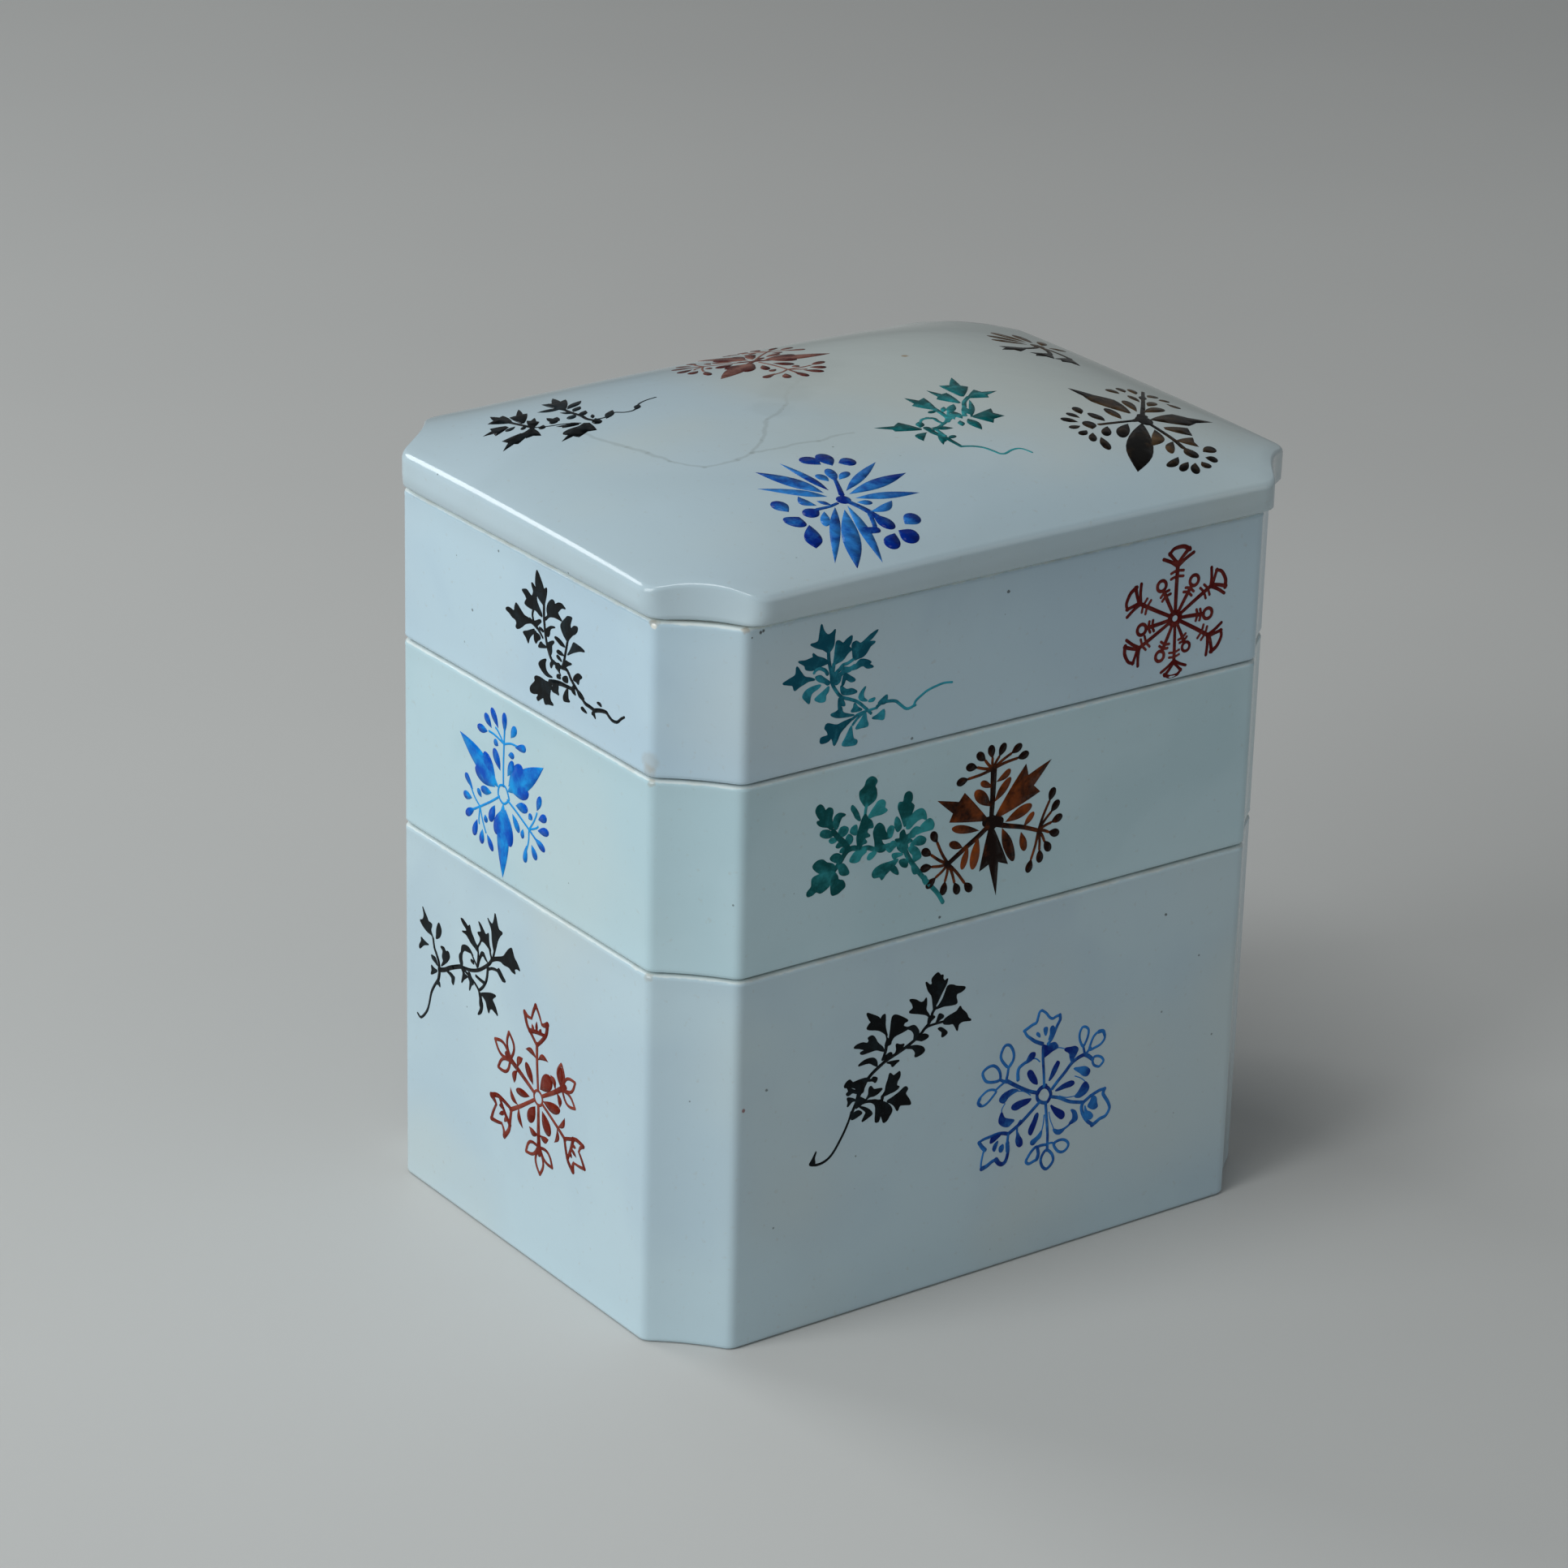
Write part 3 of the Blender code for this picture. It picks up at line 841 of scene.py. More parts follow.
def line(*points, width=0.45, end_width=None, closed=False, shade=(0.85, 0.85)):
    """A brushed line through the points, with round ends where it isn't closed."""
    end_width = (width if end_width is None else end_width) + SPREAD
    width += SPREAD
    path = smooth(points, closed)
    count = len(path)
    left, right = [], []
    for i, point in enumerate(path):
        before = path[i - 1] if closed or i else point
        after = path[(i + 1) % count] if closed or i < count - 1 else point
        ahead = (after - before).normalized()
        half = mix(width, end_width, i / max(count - 1, 1)) / 2
        left.append(point + Vector((-ahead.y, ahead.x)) * half)
        right.append(point - Vector((-ahead.y, ahead.x)) * half)
    shapes = []
    for i in range(count if closed else count - 1):
        j = (i + 1) % count
        stretch = [right[i], right[j], left[j], left[i]]
        shapes.append([stretch[k] for k in convex_hull_2d(stretch)])
    if not closed:
        shapes += dot(path[0], width / 2).shapes + dot(path[-1], end_width / 2).shapes
    return Stroke(shapes, path[0], path[-1] if not closed else path[count // 2], shade)


def trail(*steps, **brush):
    """A brushed line, walked from its start."""
    return line(*walk(steps), **brush)


def brushwork(name, strokes):
    """The strokes as one flat closed skin of enamel, with its tone and its rim."""
    points, faces, owners = [], [], []
    for stroke in strokes:
        for shape in stroke.shapes:
            faces.append(list(range(len(points), len(points) + len(shape))))
            points += shape
            owners.append(stroke)
    low = Vector((min(p.x for p in points), min(p.y for p in points)))
    high = Vector((max(p.x for p in points), max(p.y for p in points)))
    for i in range(int((high.x - low.x) / ENAMEL_GRID)):
        for j in range(int((high.y - low.y) / ENAMEL_GRID)):
            points.append(low + Vector((i + 0.5, j + 0.5)) * ENAMEL_GRID)
    sewn = delaunay_2d_cdt(points, [], faces, 0, JOIN_DISTANCE)
    spots, triangles, origins = sewn[0], sewn[2], sewn[5]
    tones = {}
    kept = []
    for triangle, sources in zip(triangles, origins):
        if sources:
            kept.append(triangle)
            for corner in triangle:
                stroke = owners[max(sources)]
                tones.setdefault(corner, []).append(stroke.shade_at(spots[corner]))
    sheet = bmesh.new()
    tone_layer = sheet.verts.layers.float.new("tone")
    rim_layer = sheet.verts.layers.float.new("rim")
    corners = {}
    for corner, found in tones.items():
        corners[corner] = sheet.verts.new((*spots[corner] * MM, 0))
        corners[corner][tone_layer] = sum(found) / len(found)
    for triangle in kept:
        sheet.faces.new([corners[corner] for corner in triangle])
    for vertex in [v for v in sheet.verts if not v.is_manifold]:
        bmesh.utils.vert_separate(vertex, [e for e in vertex.link_edges if e.is_boundary])
    under = sheet.faces[:]
    rims = [edge for edge in sheet.edges if edge.is_boundary]
    top = {}
    for vertex in sheet.verts[:]:
        vertex[rim_layer] = float(vertex.is_boundary)
        rise = mix(ENAMEL_RISE, ENAMEL_EDGE, vertex[rim_layer])
        top[vertex] = sheet.verts.new((vertex.co.x, vertex.co.y, rise), vertex)
        vertex.co.z = -ENAMEL_ROOT
    for face in under:
        sheet.faces.new([top[vertex] for vertex in face.verts])
    for first, last in (edge.verts for edge in rims):
        sheet.faces.new((first, last, top[last], top[first]))
    bmesh.ops.recalc_face_normals(sheet, faces=sheet.faces)
    sheet.normal_update()
    for face in sheet.faces:
        face.smooth = abs(face.normal.z) > 0.5
    mesh = bpy.data.meshes.new(name)
    sheet.to_mesh(mesh)
    sheet.free()
    return bpy.data.objects.new(name, mesh)


def wrapping_tree():
    """Puts a piece of brushwork on each point, and lays them all on a glazed surface."""
    tree = bpy.data.node_groups.new("enamel_on_glaze", "GeometryNodeTree")
    inputs = (
        ("Points", "NodeSocketGeometry"),
        ("Brushwork", "NodeSocketCollection"),
        ("Surface", "NodeSocketObject"),
        ("Across", "NodeSocketVector"),
        ("Up", "NodeSocketVector"),
        ("Outward", "NodeSocketVector"),
        ("Enamel", "NodeSocketMaterial"),
    )
    for name, kind in inputs:
        tree.interface.new_socket(name, in_out="INPUT", socket_type=kind)
    tree.interface.new_socket("Mesh", in_out="OUTPUT", socket_type="NodeSocketGeometry")
    nodes = Nodes(tree)
    given = nodes.node("NodeGroupInput")
    across, up, outward = (given.beside(name) for name in ("Across", "Up", "Outward"))

    def on_point(name, kind="FLOAT"):
        return nodes.node("GeometryNodeInputNamedAttribute", {"data_type": kind}, {"Name": name})

    reach = on_point("reach")
    drawings = {"Collection": given.beside("Brushwork"), "Separate Children": True, "Reset Children": True}
    laid = nodes.node("GeometryNodeInstanceOnPoints", None, {
        "Points": given,
        "Instance": nodes.node("GeometryNodeCollectionInfo", None, drawings),
        "Pick Instance": True,
        "Instance Index": on_point("kind", "INT"),
        "Rotation": nodes.node("ShaderNodeCombineXYZ", None, {"Z": on_point("turn")}),
        "Scale": nodes.node("ShaderNodeCombineXYZ", None, {"X": reach, "Y": reach, "Z": 1}),
    })
    flat = nodes.node("GeometryNodeRealizeInstances", None, {"Geometry": laid})
    position = nodes.node("GeometryNodeInputPosition")
    x = nodes.node("ShaderNodeSeparateXYZ", None, {"Vector": position}, "X")
    y, rise = x.beside("Y"), x.beside("Z")
    above = nodes.vector("MULTIPLY", outward, (RAY_START,) * 3)
    above = nodes.vector("MULTIPLY_ADD", across, x, nodes.vector("MULTIPLY_ADD", up, y, above))
    surface = {"Object": given.beside("Surface")}
    landed = nodes.node("GeometryNodeRaycast", None, {
        "Target Geometry": nodes.node("GeometryNodeObjectInfo", None, surface, "Geometry"),
        "Source Position": above,
        "Ray Direction": nodes.vector("MULTIPLY", outward, (-1, -1, -1)),
    }, "Hit Position")
    place = nodes.vector("MULTIPLY_ADD", landed.beside("Hit Normal"), rise, landed)
    wrapped = nodes.node("GeometryNodeSetPosition", None, {"Geometry": flat, "Position": place})
    finished = {"Geometry": wrapped, "Material": given.beside("Enamel")}
    finished = nodes.node("GeometryNodeSetMaterial", None, finished)
    nodes.node("NodeGroupOutput", None, {"Mesh": finished})
    return tree


ENAMEL_ON_GLAZE = wrapping_tree()


def paint(name, body, surface, face, colour, drawings, arms=((0, 0, 0, 0, 1),)):
    """Lays brushwork on a surface, on the face given by its directions across and up.

    An arm is (which drawing, x, y, turn in degrees, reach)."""
    palette = bpy.data.collections.new(name + "_brushwork")
    pieces = [brushwork(f"{name}_{i}", strokes) for i, strokes in enumerate(drawings)]
    for piece in pieces:
        palette.objects.link(piece)
    shift = LID_SHIFT / MM if face is TOP else 0
    spots = [((arm[1] + shift) * MM, arm[2] * MM, i * LAYER_GAP) for i, arm in enumerate(arms)]
    points = bpy.data.meshes.new(name)
    points.from_pydata(spots, [], [])
    for key, kind, column in (("kind", "INT", 0), ("turn", "FLOAT", 3), ("reach", "FLOAT", 4)):
        layer = points.attributes.new(key, kind, "POINT")
        for i, arm in enumerate(arms):
            layer.data[i].value = math.radians(arm[column]) if key == "turn" else arm[column]
    holder = bpy.data.objects.new(name, points)
    bpy.context.scene.collection.objects.link(holder)
    wrap = holder.modifiers.new("wrap", "NODES")
    wrap.node_group = ENAMEL_ON_GLAZE
    across, up = face
    values = {
        "Brushwork": palette,
        "Surface": surface,
        "Across": across,
        "Up": up,
        "Outward": across.cross(up),
        "Enamel": colour,
    }
    for item in ENAMEL_ON_GLAZE.interface.items_tree:
        if item.name in values:
            wrap[item.identifier] = values[item.name]
    graph = bpy.context.evaluated_depsgraph_get()
    mesh = bpy.data.meshes.new_from_object(holder.evaluated_get(graph), depsgraph=graph)
    mesh.name = name
    holder.modifiers.clear()
    holder.data = mesh
    for piece in pieces:
        bpy.data.objects.remove(piece)
    bpy.data.collections.remove(palette)
    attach(holder, body)
    return holder


ENAMEL_ROUGHNESS = 0.2
ENAMEL_SPECULAR = 0.09
ENAMEL_CLOUD_SIZE = 2.6 * MM
ENAMEL_CLOUD_STRENGTH = 1.1
ENAMEL_GRAIN_SIZE = 0.5 * MM
ENAMEL_GRAIN_STRENGTH = 0.35
ENAMEL_RIPPLE_SIZE = 0.9 * MM
ENAMEL_RELIEF = 0.06 * MM
ENAMEL_RELIEF_STRENGTH = 0.3


def enamel(name, thin, thick, roughness=ENAMEL_ROUGHNESS):
    """Glassy overglaze colour, paler where the brush left it thin."""
    finish = Finish(name)
    place = finish.place()
    clouds = finish.mottle(place, ENAMEL_CLOUD_SIZE, 3.0, 0.6) - 0.5
    grain = finish.mottle(place, ENAMEL_GRAIN_SIZE, 2.0) - 0.5
    thickness = finish.attribute("tone") + clouds * ENAMEL_CLOUD_STRENGTH
    thickness = (thickness + grain * ENAMEL_GRAIN_STRENGTH).ramp(0.1, 1.0)
    height = finish.mottle(place, ENAMEL_RIPPLE_SIZE, 2.0)
    return finish.set(
        Base_Color=finish.blend(thickness, thin, thick),
        Roughness=roughness + grain * 0.1,
        Normal=finish.bump(height, ENAMEL_RELIEF_STRENGTH, ENAMEL_RELIEF),
        Specular_IOR_Level=ENAMEL_SPECULAR,
    )


black_enamel = enamel("black_enamel", tone(30, 44, 50), tone(3, 6, 8))

upper_left_sprig = [
    patch(61, 1196, -14, 6, -7, 6, -3, 9, -2, 11, 1, 12, 3, 9, 5, -3, 6, -7, 6, -8, 5, -7, 7, 4, 1, -6,
          -2, -10, -3, -9),
    patch(55, 1175, -8, 1, -10, 4, -10, -1, -12, 0, -10, 2, 0, 4, 4, 6, -5, 6, -8, 5, 5, 3, 9, 2, 8, -4,
          7, -2, 4, 9, -4, 8, -1, 5, 4, 0, 7, -5, 4, -9, 1, -11, 7, -10, 7, -7),
    trail(30, 1180, -3, -10, 3, -10, width=0.43, end_width=0.53),
    patch(30, 1155, -10, -2, -14, -6, -10, -8, -12, -7, -6, 1, 2, 7, -4, 5, -10, 2, -8, 4, -10, 3, 3, 4,
          8, 2, 13, -1, 2, 8, 4, 7, 6, -2, 8, -5, 11, -6, 14, -1, 12, -2),
    trail(20, 1158, 12, -3, 14, -6, 12, -9, width=0.78, end_width=0.33),
    patch(63, 1175, 8, 7, -2, 9, 2, 9, 5, 7, 8, 6, 7, -1, 2, -4, 9, 5, 10, 2, 8, -3, 3, -2, -10, -2,
          -8, -7, -3, -5, 7, -6, 4, -4, -14, 0, -11, -1, -12, -4, -9, -8),
    patch(130, 1157, -9, 5, -8, 8, -3, 7, 4, 7, 8, 8, 8, 7, 12, 2, -1, -5, -3, -9, 3, -5, 7, 6, 10, 2,
          1, -5, -5, -7, -10, -7, -8, -8, shade=(0.75, 0.55)),
    patch(131, 1134, 5, 7, 7, 11, 5, 8, 10, 0, 10, -1, 9, -2, 2, -2, -12, -3, -12, -5, -12, -6,
          shade=(0.35, 0.7)),
    patch(123, 1145, -12, -1, -9, 3, -9, 4, 4, 3, 10, -1, 9, -3),
    patch(119, 1129, -13, -2, -7, 2, 4, 4, 8, 0, 6, -2),
    patch(114, 1117, -10, 1, -5, 3, 3, 3, 7, -2),
    patch(68, 1148, -2, 7, 6, 6, 10, 6, 12, 2, -11, -5, -4, -6, -1, -6, -4, -5, shade=(0.9, 0.7)),
    patch(34, 1154, -2, 5, 7, 4, 10, 5, 4, -2, -6, -6, -6, -5),
    patch(59, 1150, -8, 1, -4, 3, 6, 1, 6, -2),
    patch(33, 1146, -8, -3, -12, -6, -12, -5, 0, -3, 7, -4, 7, -8, 3, 8, 6, 8, 7, 6, shade=(0.6, 0.9)),
    patch(35, 1144, -3, -8, 1, -8, 5, -4, 5, 6, 8, 6, -3, 5, -7, 1),
    patch(70, 1127, -8, -3, -16, -4, 2, 6, 5, 5, 6, -2, 8, -1, shade=(0.5, 0.8)),
    patch(82, 1118, -3, 7, -7, 4, 1, 6, 7, 5, 9, 4, 2, -2, -6, -7, 0, -10, shade=(0.6, 0.8)),
    trail(61, 1196, 0, -17, 2, -17, 4, -19, 7, -18, 9, -13, 8, -4, 12, -1, 12, 0, 12, 1, 8, -5, 5, -6,
          9, -7, 12, -8, 12, -8, 10, -6, 10, -1, 10, -1, 8, -1, width=0.58),
    trail(208, 1064, 17, 6, 18, 3, 8, -4, 11, -4, 13, 2, 11, 9, 9, 6, width=0.68, end_width=0.33),
    trail(116, 1108, 4, 10, 5, 18, 6, 23, width=0.5),
    patch(87, 1081, -15, -3, -13, 3, -11, 7, -1, 5, 8, 7, 13, 6, -2, -7, 2, -10, 8, -6),
    patch(81, 1069, -14, -1, -12, 1, -8, 0, -9, -2, -4, -4, 1, -6, -9, -9, -5, -7, 2, -6, 9, 0, 10, 3,
          3, -2, -4, -6, 4, -3, 7, 5, 8, 5, 2, -3, 4, -6, 10, 3, 14, 3, -7, 5, -3, 8, 2, 11, 2, 8),
    trail(80, 1070, 16, 5, 14, 3, 15, 1, 19, 1, width=0.98, end_width=0.53),
    patch(104, 1073, -11, -4, -9, -7, 4, -5, 10, 0, 8, 0, -2, 6, shade=(0.7, 0.8)),
    patch(132, 1077, -8, -9, -5, -10, 2, -6, 8, 1, 9, 3, -4, 4, -1, 9, shade=(0.9, 0.7)),
    patch(147, 1086, -4, -8, 4, -4, 8, -1, -2, 6, -2, 5),
    patch(160, 1082, 2, -6, 7, -4, 11, 2, -7, 6, -8, 3),
    patch(208, 1065, -6, -8, 5, -2, 6, -3, -2, 7),
    patch(188, 1053, -12, 0, -5, 3, 4, 3, 7, -2),
    patch(229, 1078, -8, 1, -4, 2, 7, 2, 5, -2),
    patch(119, 1114, 6, 8, 8, 0, 10, 0, -11, -6, -9, -6, shade=(0.9, 0.7)),
    patch(98, 1108, -2, -7, 7, -3, 9, -6, -4, 6, 2, 9, -4, 4, shade=(0.9, 0.7)),
    patch(87, 1110, -7, -8, 3, -6, 5, 7, 6, 7),
    patch(110, 1086, -9, -1, -1, 4, 6, 3, 4, -2),
    patch(132, 1087, -10, -2, -6, 3, 6, 6, 9, 2),
    patch(148, 1097, 3, 7, 9, 7, 7, 1, 6, -3, -7, -6, -3, -9, -7, 2, shade=(0.9, 0.75)),
]
paint("upper_left_black_sprig", "upper", upper_shell, LEFT, black_enamel, [upper_left_sprig])

lower_left_sprig = [
    patch(-276, 478, -8, 8, -14, 2, -11, 4, -7, 4, -5, 5, 8, 4, 4, 10, -4, 14, 6, -6, 8, -8, 5, -6,
          11, -2, -3, -11, 5, -9),
    patch(-269, 486, 0, 7, 1, 12, 7, 13, 7, -7, 1, -8, -5, -10, shade=(0.7, 0.8)),
    patch(-294, 465, -15, -6, -13, -11, -2, 5, 6, 10, 0, 7, 8, -2, 9, -2, shade=(0.6, 0.9)),
    trail(-279, 483, 4, -16, 7, -10, 7, -12, 2, -15, width=0.47, end_width=0.72),
    trail(-260, 439, 1, -13, -4, -17, width=0.77, end_width=0.67),
    trail(-263, 411, -11, -14, -11, -18, -6, -20, -7, -18, -12, -15, -11, -8, -9, 4, width=0.52,
          end_width=0.37, shade=(0.85, 0.55)),
    patch(-253, 441, 6, 11, -3, 8, 2, 11, -7, 5, 10, 3, 7, -5, 8, 2, 4, -8, -6, -10, -10, -9),
    patch(-265, 437, -8, 3, -9, 3, -3, 6, 8, 1, 7, -2, shade=(0.5, 0.6)),
    patch(-266, 427, -11, 1, -8, 2, 1, -9, -2, -8, 12, 7, shade=(0.6, 0.8)),
    patch(-265, 408, -6, -7, 8, 1, 6, -2, -1, 8, shade=(0.7, 0.6)),
    trail(-260, 431, 18, 7, 19, 11, 19, 9, 14, 6, width=0.77, end_width=0.72),
    trail(-190, 464, 15, 2, 19, 4, 22, 9, 21, 14, 15, 13, 6, 10, width=0.54, end_width=0.62),
    patch(-236, 438, 13, 2, 10, -3, 3, -2, -4, -14, -5, 3, -1, 7, -7, 4, shade=(0.7, 0.8)),
    patch(-189, 465, -6, 11, 0, 8, 5, 7, 2, 10, 4, 5, 9, 3, 9, 0, 8, -4, 7, -6, -5, 2, -11, -1, -12, -2,
          -6, -8, -1, -10, 2, -9),
    trail(-160, 505, 10, -11, 12, -11, width=0.37),
    patch(-149, 484, -9, 2, 1, 4, 7, -1),
    patch(-137, 512, -10, 4, -11, 4, -9, 6, -8, 4, -11, 1, 13, 5, -2, 5, -9, 5, -6, 7, 7, 1, 9, -4, 7, -3,
          5, 4, 4, -9, 7, -8, 7, -8, 8, -6),
    trail(-137, 517, 2, -11, -3, -22, width=0.42),
    patch(-97, 528, -8, 4, -10, 4, -9, 0, -6, -6, 1, 10, -8, 7, 10, 5, -2, 7, -5, 9, 8, -3, 8, -7, 7, -5,
          8, 5, 1, -10, 2, -10, 4, -7),
    trail(-99, 530, 3, -9, 4, -6, width=0.47),
    trail(-129, 531, -7, -10, 1, -9, width=0.37),
    patch(-84, 530, -5, 8, -3, 12, -1, 10, -2, 10, -11, 15, 8, -4, 7, -1, 5, 10, 3, 12, 4, -7, 4, -11,
          5, -7, 10, -2, -8, -9, -7, -12, -4, -12),
    trail(-84, 533, -5, -15, width=0.47),
    trail(-136, 485, 5, 14, 6, 10, width=0.37),
    patch(-132, 502, 6, 13, 8, 2, 5, -5, 7, -8, -7, 2, -6, 4, -6, -2, shade=(0.8, 0.7)),
    patch(-94, 513, 4, 6, 14, 6, 18, 8, 9, 10, 8, 9, 9, 6, 4, -5, 5, -9, 9, -7, 8, -10, -8, 0, -8, -4,
          2, -7, -10, 0, -10, 4, -15, -1, -11, 2, -14, -4, -13, -7, shade=(1, 0.9)),
    trail(-105, 495, -2, -17, -4, -12, -9, -13, -10, -9, width=0.62, end_width=0.47),
    trail(-117, 462, -13, 1, -12, 2, width=0.62, end_width=0.47),
    trail(-105, 491, 11, 6, 12, 3, 11, 0, width=0.42, end_width=0.52),
    patch(-76, 500, 5, 6, 6, -3, 7, -6, 8, -7, -8, -3, -6, 3, -7, 5),
    patch(-127, 438, 15, 7, 18, 6, 14, 1, -10, -10, 7, -8, 5, -7, 4, -9, -7, 2, -10, 3, -7, -3, -4, -8,
          -5, 8, -4, 9, -7, 5),
    trail(-162, 462, 6, -7, 12, -6, 10, -7, 4, -11, width=0.42, end_width=0.47),
    patch(-131, 439, 0, -11, 0, -11, 2, -8, -7, -13, 11, 7, 5, 14, -3, 10, -3, 9, shade=(0.7, 0.8)),
    patch(-166, 463, -1, -10, 5, -7, -1, -16, 7, 12, 6, 5, -8, 5, -2, 8, shade=(0.8, 0.6)),
    trail(-188, 463, 13, -3, 12, -3, width=0.42),
    patch(-188, 460, 4, -7, -4, -18, 8, 9, 11, 9, -8, 2, -5, 4),
]
paint("lower_left_black_sprig", "lower", lower_shell, LEFT, black_enamel, [lower_left_sprig])

lower_front_sprig = [
    patch(-130, 519, -2, 11, -3, 16, -8, 12, -5, 16, 8, -7, 5, 1, -1, 7, 3, 5, 9, 5, 6, -6, 5, -1, 0, -6,
          4, -5, 6, 2, -3, -10, -7, -11, -8, -14, -5, -8),
    patch(-126, 520, 7, 6, 7, 9, 5, 11, 5, 10, 10, -1, 8, -4, 18, -6, -6, -6, -10, -2, -2, -6, 2, -11,
          -11, -1, -16, 2),
    patch(-137, 507, -8, 7, -12, 5, -23, 8, 7, 6, -2, 9, -5, 8, 12, -3, 10, -7, 7, 0, 5, 5, 1, -12,
          -1, -9, 6, -10),
    patch(-108, 489, 1, 7, 11, 5, 14, 4, 7, 7, 4, -6, 8, -8, 4, -6, 2, -5, 6, -6, -15, 2, -7, -1, -4, -4,
          -2, -9, -5, 9, -5, 6, -8, 1),
    patch(-124, 494, 2, 6, 4, 9, 8, -4, 1, -4, -7, -3, shade=(0.9, 0.75)),
    patch(-119, 483, 6, 0, 9, -7, 4, -6, -6, -4, -5, 0, 0, 8, -5, 5, shade=(0.8, 0.95)),
    trail(-126, 522, -6, -7, -2, -9, -5, -9, -9, -8, -7, -7, -14, -9, -17, -8, -16, -6, -21, -7, -17, -9,
          -14, -9, -10, -10, -7, -12, width=0.46, end_width=0.58),
    trail(-271, 413, -7, -12, -8, -16, -7, -14, width=0.58, end_width=0.48),
    trail(-105, 493, -19, 0, -16, -1, -9, -4, width=0.36),
    patch(-141, 497, 1, 11, 6, 2, 7, -4, -7, -5),
    patch(-169, 475, 0, 10, -6, 9, -13, 7, 7, 0, 12, 0, 8, -9, 2, -7, -4, -7),
    patch(-167, 475, 11, 4, 9, 1, 8, -5, -3, -4, -10, -2, -8, 3),
    patch(-188, 465, 11, 0, 14, -2, 13, -6, 4, -8, -8, -5, -11, -1, 0, 8, -6, 8, -9, 3),
    patch(-224, 496, -7, 7, -12, 8, -22, 7, 3, 8, 4, 3, -4, 6, -5, 12, 11, -5, 12, -7, 5, -5, 4, 5, 5, 1,
          1, -9, 0, -10, 2, -10),
    patch(-223, 480, 3, 10, 2, 14, 2, 20, 4, 6, 10, -3, 19, -13, -6, -3, -2, -6, 10, -6, -11, -4, -17, -4,
          -8, -9),
    patch(-227, 499, 2, -9, -3, -11, 6, -1, 6, 2, -1, 8, -6, 3),
    trail(-225, 480, -2, -13, -5, -12, width=0.58, end_width=0.43),
    patch(-230, 470, -6, 2, -9, 4, -11, 0, -17, -1, -5, 4, 8, 3, -9, 5, -12, 4, 6, 4, 11, 1, 9, -3, 4, 4,
          -2, 5, 7, 2, 6, -4, 7, -12, 10, -10),
    patch(-243, 446, -7, 4, -11, 6, -20, 0, 9, 6, 11, 2, 11, -2, 6, -7, shade=(0.8, 0.95)),
    patch(-232, 455, 6, 5, 8, 4, 5, -3, -4, -5, -8, -2),
    patch(-207, 458, 3, 8, -1, 10, 8, -3, 8, -1, -3, -5, -8, -3, shade=(0.85, 0.95)),
    patch(-223, 447, 10, 0, 15, -2, -6, -4, -7, -4, -4, 6),
    patch(-231, 387, 6, 9, 2, 10, 4, 11, 3, 9, 7, -6, 5, 1, 8, 3, 1, -9, -5, -8, -1, -7, 5, -4, -8, -5,
          -12, -2),
    patch(-220, 376, 10, 4, 14, 6, 12, 7, 6, -5, -4, -8, 8, -13, 3, -9, -12, 2, -10, 1, -5, -8, -7, 11,
          -8, 7),
    patch(-237, 382, 10, -5, 11, -8, 7, -12, -6, -11, -5, -6, -6, -1, -3, 8, -3, 6, -3, -7, -2, -3, -6, 2,
          0, 16, -1, 13, -6, 7, -9, 5, 12, 0),
    trail(-230, 387, -3, -7, -25, 6, -12, 0, width=0.58, end_width=0.43),
    patch(-266, 388, 7, 10, 1, 11, 4, 3, 6, -7, 7, -1, 10, -2, -7, -6, -9, -3, -10, 0, shade=(0.7, 0.85)),
    patch(-284, 380, -1, 9, 2, 9, 5, 1, 7, -4, 7, -6, -6, -4, -6, -3),
    patch(-277, 381, 11, -4, 11, -8, 5, -8, -6, -4, -14, -5, 4, 9, 3, 6, -6, 7, shade=(0.9, 0.8)),
    patch(-293, 368, 6, 5, 9, 1, 7, -6, -7, -4, -13, -3),
    patch(-270, 411, -9, 3, -9, 4, -8, 3, -12, 3, 2, 7, 8, 4, 6, -6, 5, 0, 10, 1, 11, 0, 7, -3, -9, -4,
          -4, -4),
    patch(-265, 427, 11, -2, 4, 3, 8, -4, -3, -7, -6, 4, -9, 2),
    patch(-284, 407, -7, 3, -9, -3, -4, 4, 4, 4, -2, 7, 9, -5, 8, -5),
    patch(-286, 394, -6, 0, -9, -7, 1, 8, -2, 8, 8, -2, 7, -4),
    trail(-284, 417, 4, -11, -2, -10, width=0.53),
    patch(-278, 417, 9, -6, -2, -6, -7, 3),
    trail(-293, 375, -4, -13, -12, -24, -19, -28, -16, -11, -17, -2, -10, 4, width=0.34, end_width=0.4),
    patch(-375, 301, 5, 8, 8, 13, -3, -12, 1, -7, -2, -6),
]
paint("lower_front_black_sprig", "lower", lower_shell, FRONT, black_enamel, [lower_front_sprig])

